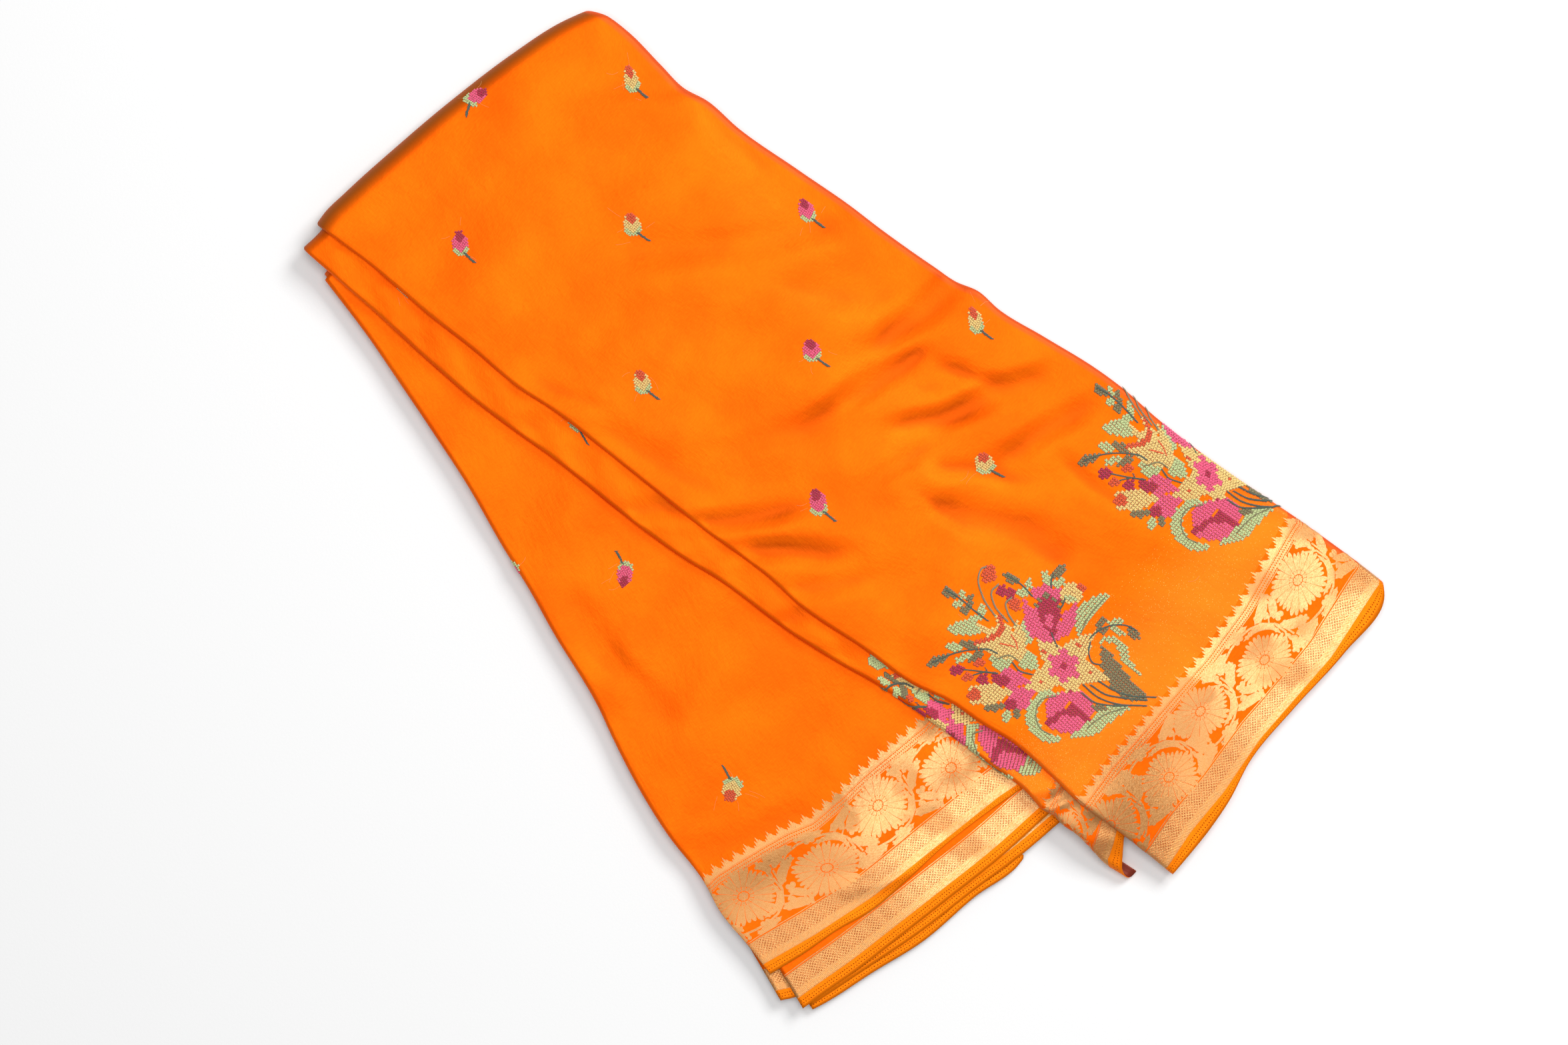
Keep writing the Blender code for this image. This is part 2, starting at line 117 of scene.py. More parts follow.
SECOND_LEFT: Line = (
    (-22.0, -260.8), (-23.0, -253.0), (-20.8, -237.1), (-19.7, -226.7), (-20.0, -215.5),
    (-19.0, -205.6), (-20.0, -200.0), (-17.7, -186.0), (-18.0, -169.3), (-18.5, -131.1),
    (-20.3, -102.1), (-24.6, -69.9), (-26.8, -42.1), (-27.2, -0.6), (-29.8, 26.0),
    (-30.4, 64.3), (-29.2, 102.6), (-30.3, 152.0), (-28.6, 188.6), (-24.8, 228.6),
    (-22.5, 260.8), (-21.1, 281.4))
SECOND_BORDER: Line = ((-22.0, -260.8), (-12.6, -254.2), (-5.0, -249.4), (5.2, -247.0))
SECOND_FOLD: Line = ((-21.1, 281.4), (-11.0, 279.6), (3.4, 279.2))
LOWER_LEFT: Line = (
    (-176.0, -145.4), (-171.2, -127.4), (-165.6, -103.8), (-158.9, -88.7), (-150.4, -57.8),
    (-126.0, -1.4), (-120.0, 9.8), (-101.5, 56.0), (-91.7, 78.4), (-82.7, 102.1),
    (-68.0, 136.8), (-56.9, 167.9), (-45.7, 200.9), (-37.5, 225.6), (-27.4, 262.0))
LOWER_BORDER: Line = (
    (-176.0, -145.4), (-156.9, -152.8), (-136.8, -159.3), (-116.9, -167.7), (-90.9, -173.2),
    (-67.6, -177.3), (-38.1, -185.1), (-17.9, -191.7), (-8.0, -194.6))
LOWER_FOLD: Line = ((-27.4, 262.0), (-13.0, 262.0))
LAYERS_LEFT: Line = ((-167.5, -140.0), (-167.0, -118.0), (-167.0, -146.0), (-168.5, -148.0))
LAYERS_BORDER: tuple[Line, ...] = (
    ((-179.9, -170.2), (-165.6, -174.5), (-150.1, -179.5), (-114.1, -189.2),
     (-91.0, -195.2), (-49.4, -205.6), (-21.0, -210.9), (-8.4, -213.4)),
    ((-183.8, -158.4), (-177.5, -163.6), (-150.0, -172.5), (-114.0, -183.0),
     (-91.0, -189.0), (-49.4, -199.0), (-21.0, -205.0), (-8.4, -207.5)),
    ((-176.2, -172.9), (-140.4, -185.2), (-109.2, -195.6), (-76.5, -204.3),
     (-44.3, -213.4), (-20.1, -218.6), (-8.4, -221.0)),
    ((-177.6, -174.9), (-172.8, -177.2), (-142.7, -188.4), (-114.0, -199.4),
     (-78.6, -207.0), (-49.2, -215.2), (-46.3, -215.0), (-44.6, -210.2), (-8.4, -214.6)))
LAYERS_END: Line = (
    (-168.0, -118.0), (-158.5, -128.5), (-148.0, -139.0), (-136.8, -147.3), (-116.9, -155.7),
    (-90.9, -161.2), (-67.6, -165.3), (-38.1, -173.1), (-17.9, -179.7), (-8.0, -182.6))

# Where the bands end, in from the cut edge, and the rows of faces over the first of them. Past
# FIXED_END no guide pulls the cloth.
GOLD_START = 6.2
TWILL_END = 10.0
LATTICE_END = 18.9
GOLD_END = 63.0
TISSUE_END = 113.0
FIXED_END = 120.0
BAND_ROWS = (0.0, 1.6, 3.2, 4.7, GOLD_START, 8.1, TWILL_END, 12.2, 14.4, 16.6, LATTICE_END)

# Where the border's lower gold line and its points lie on each stretch, as seen from above.
TOP_GUIDES: tuple[Line, Line] = (
    ((-4.1, -277.2), (17.6, -275.7), (45.4, -276.9), (79.4, -275.3), (135.8, -279.0),
     (176.0, -275.7)),
    ((4.4, -216.7), (19.1, -216.9), (42.3, -219.1), (95.2, -223.2), (126.7, -222.5),
     (175.6, -216.2)))
LOWER_GUIDES: tuple[Line, Line] = (
    ((-172.8, -139.6), (-144.4, -151.6), (-111.1, -163.3), (-78.3, -172.0), (-61.7, -176.2),
     (-28.4, -184.5), (-14.7, -189.3)),
    ((-150.8, -86.7), (-136.7, -91.9), (-123.6, -97.1), (-109.6, -103.3), (-97.2, -110.7),
     (-78.2, -114.7), (-61.3, -117.0), (-21.3, -126.3)))
SECOND_GUIDES: tuple[Line, Line] = (
    ((-19.0, -249.5), (-12.0, -247.0), (-3.0, -243.0)), ((-16.0, -204.5), (-3.0, -202.0)))


def smooth_step(value: Array) -> Array:
    """Return 0 below 0, 1 above 1 and a smooth rise between."""
    value = np.clip(value, 0.0, 1.0)
    return value * value * (3.0 - 2.0 * value)


@dataclass
class Edge:
    """A smooth line through given points, asked for by the share of its length."""

    points: Line

    def __post_init__(self) -> None:
        """Work out each point's share of the length, and the line's slope there."""
        self.spots = np.array(self.points, float)
        runs = np.hypot(*np.diff(self.spots, axis=0).T)
        self.marks = np.concatenate(([0.0], np.cumsum(runs))) / runs.sum()
        self.slopes = np.gradient(self.spots, self.marks, axis=0)

    def at(self, share: Array) -> Array:
        """Return the points at shares of the length.

        Args:
            share: Any number of shares; past 0 and 1 the line runs straight on.

        Returns:
            The points, with x and y on the last axis.
        """
        inside = np.clip(share, 0.0, 1.0)
        index = np.clip(np.searchsorted(self.marks, inside) - 1, 0, len(self.marks) - 2)
        span = self.marks[index + 1] - self.marks[index]
        t = ((inside - self.marks[index]) / span)[..., None]
        start, end = self.spots[index], self.spots[index + 1]
        out = self.slopes[index] * span[..., None]
        back = self.slopes[index + 1] * span[..., None]
        place = ((2 * t ** 3 - 3 * t ** 2 + 1) * start + (t ** 3 - 2 * t ** 2 + t) * out
                 + (3 * t ** 2 - 2 * t ** 3) * end + (t ** 3 - t ** 2) * back)
        past = (np.asarray(share) - inside)[..., None]
        return place + past * np.where(past > 0, self.slopes[-1], self.slopes[0])


@dataclass
class Patch:
    """The plan of one stretch: a smooth net between its four edges.

    The sides run from the border end to the mid fold, and the border and the fold from the left.
    """

    left_points: Line
    right_points: Line
    border_points: Line
    fold_points: Line

    def __post_init__(self) -> None:
        """Draw the edges through their points."""
        self.left, self.right = Edge(self.left_points), Edge(self.right_points)
        self.border, self.fold = Edge(self.border_points), Edge(self.fold_points)

    def width(self, v: Array) -> Array:
        """Return the width at shares of the length."""
        return np.hypot(*np.moveaxis(self.right.at(v) - self.left.at(v), -1, 0))

    def length(self, u: Array) -> Array:
        """Return the length at shares of the width."""
        return np.hypot(*np.moveaxis(self.fold.at(u) - self.border.at(u), -1, 0))

    def at(self, u: Array, v: Array) -> Array:
        """Return the plan points at shares of the width and the length.

        Args:
            u: Shares of the width.
            v: Shares of the length.

        Returns:
            The points, with x and y on the last axis.
        """
        across, up = u[..., None], v[..., None]
        ends = (1 - up) * self.border.at(u) + up * self.fold.at(u)
        sides = (1 - across) * self.left.at(v) + across * self.right.at(v)
        low = (1 - across) * self.border.spots[0] + across * self.border.spots[-1]
        high = (1 - across) * self.fold.spots[0] + across * self.fold.spots[-1]
        return ends + sides - ((1 - up) * low + up * high)


@dataclass(frozen=True)
class Crease:
    """A soft crease pressed into the cloth, with a low ridge beside it, in millimetres."""

    start: Pair
    end: Pair
    depth: float
    half_width: float
    bend: float
    ridge: float

    def relief(self, x: Array, y: Array) -> Array:
        """Return how far the crease moves the cloth up at plan places.

        Args:
            x: Places across the pleats.
            y: Places along them.

        Returns:
            Heights, below zero in the trough.
        """
        run = np.subtract(self.end, self.start)
        size = float(np.hypot(*run))
        off_x, off_y = x - self.start[0], y - self.start[1]
        reach = (off_x * run[0] + off_y * run[1]) / size
        share = np.clip(reach / size, 0.0, 1.0)
        aside = (off_x * run[1] - off_y * run[0]) / size - self.bend * 4 * share * (1 - share)
        beyond = np.maximum(np.maximum(-reach, reach - size), 0.0)
        crest_at = 1.7 * self.half_width
        shape = -np.exp(-(aside / self.half_width) ** 2)
        shape = shape + self.ridge * np.exp(-((aside - crest_at) / self.half_width) ** 2)
        return self.depth * shape * np.exp(-(beyond / CREASE_FADE) ** 2)


def creases(*rows: tuple[Pair, Pair, float, float, float, float]) -> tuple[Crease, ...]:
    """Return creases by rows of start, end, depth, half width, bend and ridge."""
    return tuple(Crease(*row) for row in rows)


@dataclass(frozen=True)
class Waves:
    """A slight unevenness of the lying cloth, made of a few long waves, in millimetres."""

    seed: int
    height: float
    shortest: float = 34.0
    longest: float = 95.0
    count: int = 7

    def relief(self, x: Array, y: Array) -> Array:
        """Return how far the waves move the cloth up at plan places.

        Args:
            x: Places across the pleats.
            y: Places along them.

        Returns:
            Heights around zero.
        """
        draw = np.random.default_rng(self.seed)
        total = np.zeros(np.broadcast(x, y).shape)
        for _ in range(self.count):
            pace = math.tau / draw.uniform(self.shortest, self.longest)
            heading = draw.uniform(0.0, math.pi)
            along = x * math.cos(heading) + y * math.sin(heading)
            total += np.sin(pace * along + draw.uniform(0.0, math.tau))
        return total * self.height / math.sqrt(self.count)


@dataclass(frozen=True)
class Fold:
    """A folded edge: its radius, how far it turns, and how that changes along it."""

    radius: float = 0.0
    turn: float = 180.0
    flare: float = 0.0
    tight_from: float = 2.0
    tighter: float = 0.8
    shallow: float = 1.0

    def radius_at(self, v: Array) -> Array:
        """Return the radius in millimetres at shares of the length."""
        return (self.radius + self.flare * smooth_step((0.06 - v) / 0.06)
                - self.tighter * smooth_step((v - self.tight_from) / 0.09))

    def bend(self, run: Array, v: Array) -> tuple[Array, Array]:
        """Return where the cloth is once it has run some way round the fold.

        Args:
            run: Millimetres of cloth past the flat part.
            v: Shares of the length.

        Returns:
            How far it lies in from the edge, and how far it has dropped.
        """
        radius = np.maximum(self.radius_at(v), 0.01)
        turn = math.radians(self.turn)
        angle = np.minimum(run / radius, turn)
        past = np.maximum(run - radius * turn, 0.0)
        inset = radius * (1 - np.sin(angle)) - past * math.cos(turn)
        drop = radius * (1 - np.cos(angle)) + past * math.sin(turn)
        return inset, drop * (self.shallow + (1 - self.shallow) * smooth_step((v - 0.12) / 0.1))


@dataclass
class Surface:
    """One stretch of cloth as a surface over its flat millimetres."""

    patch: Patch
    height: Height
    wide: float
    left: Fold = Fold()
    right: Fold = Fold()
    roll: float = 0.0
    guides: tuple[Line, ...] = ()
    is_loop: bool = False
    is_fanned: bool = False

    def __post_init__(self) -> None:
        """Work out how far each guide pulls the border up or down."""
        self.pulls: list[tuple[Array, Array]] = []
        across = np.linspace(0.0, self.wide, 60)
        unpulled = [self.place(across, np.full_like(across, q)) for q in (GOLD_START, GOLD_END)]
        for guide, plain in zip(self.guides, unpulled):
            xs, ys = zip(*guide)
            self.pulls.append((across, np.interp(plain[:, 0], xs, ys) - plain[:, 1]))

    def share_across(self, p: Array, q: Array) -> Array:
        """Return the share of the width at which flat places lie.

        Args:
            p: Flat places across.
            q: Flat places in from the cut edge.

        Returns:
            Shares from 0 to 1. On a fanned stretch p is plain millimetres from the left fold.
        """
        if not self.is_fanned:
            return np.clip(p / self.wide, 0.0, 1.0)
        share = np.full(np.shape(p), 0.3)
        for _ in range(4):
            v = np.clip(q / self.patch.length(share), 0.0, 1.0)
            share = np.clip(p / (self.patch.width(v) - self.left.radius_at(v)), 0.0, 1.0)
        return share

    def pull(self, p: Array, q: Array) -> Array:
        """Return how far the border's guide lines move the cloth along the pleats.

        Args:
            p: Flat places across.
            q: Flat places in from the cut edge.

        Returns:
            Millimetres along the pleats.
        """
        total = np.zeros(np.shape(q))
        marks = (0.0, GOLD_START, GOLD_END, FIXED_END)
        for index, (across, shift) in enumerate(self.pulls):
            share = np.interp(q, marks, [float(mark == index + 1) for mark in range(4)])
            total += share * np.interp(p, across, shift)
        return total

    def place(self, p: Array, q: Array) -> Array:
        """Return where flat places lie once the cloth is folded.

        Args:
            p: Millimetres across, below 0 or above the width round the folded edges.
            q: Millimetres in from the cut edge.

        Returns:
            Points in millimetres, with x, y and z on the last axis.
        """
        p, q = np.broadcast_arrays(np.asarray(p, float), np.asarray(q, float))
        share = self.share_across(p, q)
        length = self.patch.length(share)
        flat_end = length - self.roll
        base_v = np.minimum(q, flat_end) / length
        turn = np.maximum(q - flat_end, 0.0) / max(self.roll, 1.0)
        width = self.patch.width(base_v)
        left, right = self.left.radius_at(base_v), self.right.radius_at(base_v)
        inset_left, drop_left = self.left.bend(np.maximum(-p, 0.0), base_v)
        inset_right, drop_right = self.right.bend(np.maximum(p - self.wide, 0.0), base_v)
        inset = left + share * (width - left - right)
        inset = np.where(p < 0, inset_left, np.where(p > self.wide, width - inset_right, inset))
        drop = np.where(p < 0, drop_left, np.where(p > self.wide, drop_right, 0.0))
        base = self.patch.at(inset / width, base_v)
        spot = self.patch.at(inset / width, base_v + self.roll * np.sin(turn) / length)
        z = self.height(base[..., 0], base[..., 1]) - drop * np.cos(turn)
        z = z - self.roll * (1 - np.cos(turn))
        y = spot[..., 1] - drop * np.sin(turn) + self.pull(p, q)
        if self.is_loop:
            under = smooth_step(drop / LOOP_DROP) * smooth_step(inset / LOOP_DEPTH)
            y = y - (LOOP_SLANT * drop + LOOP_RUN * under) * (1 - base_v) ** LOOP_SHARPNESS
        return np.stack((spot[..., 0], y, z), axis=-1)

    def frames(self, p: Array, q: Array) -> tuple[Array, Array, Array, Array]:
        """Return points on the cloth and the directions there.

        Args:
            p: Flat places across.
            q: Flat places in from the cut edge.

        Returns:
            The points, the directions along p and along q, and the outward normals.
        """
        step = 0.4
        here = self.place(p, q)
        along_p = self.place(p + step, q) - self.place(p - step, q)
        along_q = self.place(p, q + step) - self.place(p, q - step)
        along_p /= np.linalg.norm(along_p, axis=-1, keepdims=True)
        along_q /= np.linalg.norm(along_q, axis=-1, keepdims=True)
        normal = np.cross(along_p, along_q)
        normal /= np.linalg.norm(normal, axis=-1, keepdims=True)
        return here, along_p, along_q, normal

    def flat_place(self, x: float, y: float) -> Pair:
        """Return the flat place that lies at a plan point.

        Args:
            x: The plan point across the pleats.
            y: The plan point along them.

        Returns:
            Its millimetres across and in from the cut edge.
        """
        longest = float(self.patch.length(np.array(0.5))) - self.roll - 1.5
        spot = np.array([self.wide * 0.3, 0.4 * longest])
        for _ in range(12):
            here = self.place(spot[0], spot[1])[:2]
            over = self.place(spot[0] + 1.0, spot[1])[:2] - here
            up = self.place(spot[0], spot[1] + 1.0)[:2] - here
            step = np.linalg.solve(np.column_stack((over, up)), np.array([x, y]) - here)
            spot = spot + np.clip(step, -80.0, 80.0)
            spot[0] = np.clip(spot[0], 0.0, self.wide)
            spot[1] = np.clip(spot[1], 1.0, longest)
        return float(spot[0]), float(spot[1])


def dyed(red: int, green: int, blue: int) -> Colour:
    """Return a screen colour of 0 to 255 as the linear light that a shader takes.

    Args:
        red: Red, from 0 to 255.
        green: Green.
        blue: Blue.

    Returns:
        The colour, with full alpha.
    """
    def light(value: int) -> float:
        """Return one channel as linear light."""
        share = value / 255.0
        return share / 12.92 if share <= 0.04045 else ((share + 0.055) / 1.055) ** 2.4
    return light(red), light(green), light(blue), 1.0


class Recipe:
    """One material and the nodes that are wired into its shader."""

    def __init__(self, name: str) -> None:
        """Make an empty material.

        Args:
            name: The material's name.
        """
        self.material = bpy.data.materials.new(name)
        self.material.use_nodes = True
        self.tree = self.material.node_tree
        self.shader = self.tree.nodes["Principled BSDF"]

    def add(self, kind: str, inputs: dict | None = None,
            **settings: object) -> bpy.types.NodeOutputs:
        """Add a node.

        Args:
            kind: The node's type.
            inputs: Values or sockets for its inputs, by name or number.
            **settings: The node's own settings.

        Returns:
            The node's outputs.
        """
        node = self.tree.nodes.new(kind)
        for key, value in settings.items():
            setattr(node, key, value)
        for key, value in (inputs or {}).items():
            self.feed(node.inputs[key], value)
        return node.outputs

    def feed(self, socket: Socket, value: object) -> None:
        """Link a socket to a value's socket, or set it to a plain value.

        Args:
            socket: The socket.
            value: The value, or another node's socket.
        """
        if isinstance(value, Socket):
            self.tree.links.new(value, socket)
        else:
            socket.default_value = value

    def set(self, **values: object) -> None:
        """Set the shader's sockets, with underscores for the spaces in their names."""
        for key, value in values.items():
            self.feed(self.shader.inputs[key.replace("_", " ")], value)

    def math(self, operation: str, *values: object) -> Socket:
        """Return the result of a math node on numbers or sockets."""
        return self.add("ShaderNodeMath", dict(enumerate(values)), operation=operation)[0]

    def blend(self, share: object, first: object, second: object) -> Socket:
        """Return a colour between two others."""
        return self.add("ShaderNodeMix", {0: share, 6: first, 7: second}, data_type="RGBA")[2]

    def between(self, share: object, first: float, second: float) -> Socket:
        """Return a number between two others."""
        return self.add("ShaderNodeMapRange", {0: share, 3: first, 4: second}, clamp=True)[0]

    def rise(self, value: object, low: float, high: float) -> Socket:
        """Return 0 below a value, 1 above another and a smooth rise between."""
        return self.add("ShaderNodeMapRange", {0: value, 1: low, 2: high},
                        interpolation_type="SMOOTHSTEP")[0]

    def flat(self, across: float = 1.0, along: float = 1.0) -> Socket:
        """Return the cloth's flat place in millimetres, stretched across and along."""
        spread = self.add("ShaderNodeUVMap", uv_map="flat")[0]
        return self.add("ShaderNodeVectorMath", {0: spread, 1: (across / MM, along / MM, 1.0)},
                        operation="MULTIPLY")[0]

    def solid(self) -> Socket:
        """Return the place on a solid piece in millimetres."""
        spot = self.add("ShaderNodeTexCoord")["Object"]
        return self.add("ShaderNodeVectorMath", {0: spot, 3: 1.0 / MM}, operation="SCALE")[0]

    def noise(self, spot: object, size: float, detail: float = 2.0) -> Socket:
        """Return soft noise whose patches are about a size in millimetres."""
        return self.add("ShaderNodeTexNoise", {"Vector": spot, "Scale": 1.0 / size,
                                               "Detail": detail})[0]

    def grains(self, spot: object, size: float) -> tuple[Socket, Socket]:
        """Return a random number of cells of a size, and the distance to their middles."""
        cells = self.add("ShaderNodeTexVoronoi", {"Vector": spot, "Scale": 1.0 / size})
        return self.add("ShaderNodeSeparateColor", {0: cells["Color"]})[0], cells["Distance"]

    def parts(self, spot: object) -> bpy.types.NodeOutputs:
        """Return a place's own numbers, such as across and along, in millimetres."""
        return self.add("ShaderNodeSeparateXYZ", {0: spot})

    def attribute(self, name: str) -> Socket:
        """Return what the mesh holds under a name."""
        return self.add("ShaderNodeAttribute", attribute_name=name)["Fac"]

    def ribs(self, spot: object, pitch: float) -> Socket:
        """Return ribs of a pitch in millimetres."""
        return self.math("SINE", self.times(spot, math.tau / pitch))

    def gone(self, share: object) -> Socket:
        """Return what is left of 1 once a share is taken from it."""
        return self.math("SUBTRACT", 1.0, share)

    def times(self, *values: object) -> Socket:
        """Return two numbers multiplied."""
        return self.math("MULTIPLY", *values)

    def plus(self, *values: object) -> Socket:
        """Return two numbers added."""
        return self.math("ADD", *values)

    def relief(self, height: object, depth: float, under: object = None) -> Socket:
        """Return a normal that a height of 0 to 1 bends, for a depth in millimetres.

        Args:
            height: The height.
            depth: How much it raises, in millimetres.
            under: The normal that it bends.

        Returns:
            The normal's socket.
        """
        inputs = {"Height": height, "Distance": depth * MM, "Strength": 1.0}
        if under is not None:
            inputs["Normal"] = under
        return self.add("ShaderNodeBump", inputs)[0]


class Weave(Enum):
    """How a band of the cloth is woven."""

    SATIN = "satin"
    SELVEDGE = "selvedge"
    TWILL = "gold twill"
    LATTICE = "gold lattice"
    TISSUE = "tissue"
    WRONG_SIDE = "wrong side"


@dataclass(frozen=True)
class GoldThread:
    """The colours of gold thread, with painted dark reflection: a browner, deeper gold in soft
    random patches and towards the left fold.
    """

    bright: Colour = dyed(252, 206, 140)
    shade: Colour = dyed(236, 162, 94)
    reflection_bronze: Colour = dyed(190, 124, 62)
    metallic: float = 0.7

    def colour(self, recipe: Recipe, chance: Socket) -> Socket:
        """Return its colour, with the painted dark reflection.

        Args:
            recipe: The material.
            chance: Each thread's own chance of being bright.

        Returns:
            The colour's socket.
        """
        # Painted dark reflection: soft random patches and a rise towards the left fold blend the
        # gold to brown.
        drift = recipe.rise(recipe.noise(recipe.flat(), 34.0, 2.0), 0.47, 0.62)
        across = recipe.parts(recipe.flat())[0]
        fold_near = recipe.times(recipe.rise(across, 98.0, 58.0), 0.7)
        reflection_shade = recipe.math("MAXIMUM", recipe.times(drift, 0.7), fold_near)
        thread = recipe.blend(chance, self.shade, self.bright)
        return recipe.blend(reflection_shade, thread, self.reflection_bronze)


@dataclass(frozen=True)
class ClothFinish:
    """The satin cloth and the bands woven into it."""

    orange: Colour = dyed(252, 109, 6)
    deep_orange: Colour = dyed(244, 93, 4)
    # Painted shade for the crease troughs.
    crease_shade: Colour = dyed(192, 70, 4)
    # Painted shade and dark reflection for the mid fold's roll, where the satin turns away from the
    # light.
    roll_shade: Colour = dyed(160, 82, 16)
    # Painted light for the right fold's edge, where light shows through the turned-down satin.
    fold_light_tint: Colour = dyed(226, 88, 34)
    tissue: Colour = dyed(255, 130, 32)
    fleck: Colour = dyed(255, 176, 92)
    selvedge: Colour = dyed(255, 130, 12)
    pin_hole: Colour = dyed(180, 60, 4)
    gold: GoldThread = GoldThread()
    # The wrong side: its own duller tone with painted shade, as it lies in the fold's shadow.
    wrong: Colour = dyed(128, 38, 10)
    wrong_gold: Colour = dyed(176, 116, 66)
    metallic: float = 0.42

    def make(self, weave: Weave) -> Material:
        """Make the material of one band.

        Args:
            weave: How the band is woven.

        Returns:
            The material.
        """
        recipe = Recipe(f"cloth {weave.value}")
        builders = {Weave.SATIN: self.satin, Weave.SELVEDGE: self.selvedge_band,
                    Weave.TWILL: self.twill, Weave.LATTICE: self.lattice,
                    Weave.TISSUE: self.tissue_band, Weave.WRONG_SIDE: self.wrong_side}
        builders[weave](recipe)
        return recipe.material

    def edge(self) -> Material:
        """Make the plain orange of the woven gold's thin edges.

        Returns:
            The material.
        """
        recipe = Recipe("zari edge")
        recipe.set(Base_Color=self.orange, Roughness=0.6)
        return recipe.material

    def crepe(self, recipe: Recipe) -> Socket:
        """Return the normal of satin: fine warp, slubs and a soft crepe.

        Args:
            recipe: The material.

        Returns:
            The normal's socket.
        """
        warp = recipe.noise(recipe.flat(1.0, 0.12), 0.42)
        slub = recipe.noise(recipe.flat(0.2, 1.0), 0.9, 3.0)
        soft = recipe.noise(recipe.flat(1.0, 0.6), 9.0, 3.0)
        grain = recipe.noise(recipe.flat(1.0, 0.5), 1.9, 2.0)
        fine = recipe.relief(grain, 0.1, recipe.relief(warp, 0.06))
        return recipe.relief(soft, 0.3, recipe.relief(slub, 0.05, fine))

    def ground(self, recipe: Recipe) -> Socket:
        """Return the satin's colour: uneven dye, slubs, painted shade in the crease troughs and on
        the mid fold's roll, and painted light on the right fold's edge.

        Args:
            recipe: The material.

        Returns:
            The colour's socket.
        """
        cloudy = recipe.noise(recipe.flat(), 40.0, 3.0)
        slub = recipe.noise(recipe.flat(0.3, 1.0), 0.8, 2.0)
        patchy = recipe.plus(recipe.times(cloudy, 0.7), recipe.times(slub, 0.3))
        colour = recipe.blend(recipe.rise(patchy, 0.3, 0.7), self.deep_orange, self.orange)
        # Painted shade: a deeper colour where the cloth lies below the places round it, in the
        # crease troughs.
        shade = recipe.times(recipe.rise(recipe.attribute("crease_shade"), 0.03, 0.85), 0.75)
        colour = recipe.blend(shade, colour, self.crease_shade)
        # Painted shade on the mid fold's roll, growing as the cloth turns under.
        colour = recipe.blend(recipe.attribute("turned"), colour, self.roll_shade)
        # Painted light on the right fold's edge.
        return recipe.blend(recipe.attribute("fold_light_tint"), colour, self.fold_light_tint)

    def satin(self, recipe: Recipe) -> None:
        """Wire up the plain satin."""
        recipe.set(Base_Color=self.ground(recipe), Metallic=self.metallic,
                   Normal=self.crepe(recipe), Roughness=self.gloss(recipe))
        self.tint(recipe)

    def gloss(self, recipe: Recipe) -> Socket:
        """Return the satin's roughness, which drifts a little."""
        return recipe.between(recipe.noise(recipe.flat(), 22.0), 0.44, 0.56)

    def tint(self, recipe: Recipe) -> None:
        """Keep the satin's sheen and its shine as warm as its dye.

        Args:
            recipe: The material.
        """
        recipe.set(Sheen_Weight=0.16, Sheen_Roughness=0.35)
        recipe.shader.inputs["Sheen Tint"].default_value = dyed(255, 150, 60)
        recipe.shader.inputs["Specular Tint"].default_value = dyed(255, 150, 70)

    def tissue_band(self, recipe: Recipe) -> None:
        """Wire up the paler band above the border, flecked with gold.

        Args:
            recipe: The material.
        """
        chance, middle = recipe.grains(recipe.flat(0.9, 1.4), 0.5)
        across, along, _ = recipe.parts(recipe.flat())
        fold_near = recipe.rise(recipe.math("ABSOLUTE", across), 26.0, 0.0)
        rare = recipe.plus(0.93, recipe.times(fold_near, -0.12))
        fleck = recipe.times(recipe.math("GREATER_THAN", chance, rare),
                             recipe.rise(middle, 0.42, 0.2))
        fleck = recipe.times(fleck, 0.75)
        fade = recipe.rise(along, TISSUE_END, TISSUE_END - 30.0)
        colour = recipe.blend(recipe.times(fade, 0.5), self.ground(recipe), self.tissue)
        recipe.set(Base_Color=recipe.blend(fleck, colour, self.fleck),
                   Metallic=recipe.between(fleck, self.metallic, 0.9),
                   Roughness=self.gloss(recipe), Normal=self.crepe(recipe))
        self.tint(recipe)

    def selvedge_band(self, recipe: Recipe) -> None:
        """Wire up the plain selvedge, with two rows of pin holes.

        Args:
            recipe: The material.
        """
        across, along, _ = recipe.parts(recipe.flat())
        uneven = recipe.times(recipe.noise(recipe.flat(), 3.0), 0.9)
        holes: object = 0.0
        for row, pitch, start in ((1.7, 1.55, 0.0), (3.3, 1.35, 0.4)):
            shifted_across = recipe.plus(across, recipe.plus(uneven, start))
            share = recipe.math("FRACT", recipe.math("DIVIDE", shifted_across, pitch))
            aside = recipe.times(recipe.math("SUBTRACT", share, 0.5), pitch)
            level = recipe.math("SUBTRACT", along, recipe.plus(uneven, row))
            gap = recipe.plus(recipe.math("POWER", aside, 2.0), recipe.math("POWER", level, 2.0))
            holes = recipe.math("MAXIMUM", holes, recipe.rise(gap, 0.10, 0.01))
        under = recipe.relief(recipe.ribs(across, 0.55), 0.03, self.crepe(recipe))
        self.tint(recipe)
        recipe.set(Base_Color=recipe.blend(holes, self.selvedge, self.pin_hole),
                   Metallic=self.metallic, Roughness=0.45,
                   Normal=recipe.relief(recipe.gone(holes), 0.3, under))

    def gold_normal(self, recipe: Recipe) -> Socket:
        """Return the normal of gold thread: a slanted rib and uneven floats.

        Args:
            recipe: The material.

        Returns:
            The normal's socket.
        """
        across, along, _ = recipe.parts(recipe.flat())
        slant = recipe.plus(across, recipe.times(along, 0.55))
        uneven = recipe.noise(recipe.flat(1.0, 0.35), 0.55, 3.0)
        return recipe.relief(uneven, 0.16, recipe.relief(recipe.ribs(slant, 0.5), 0.03))

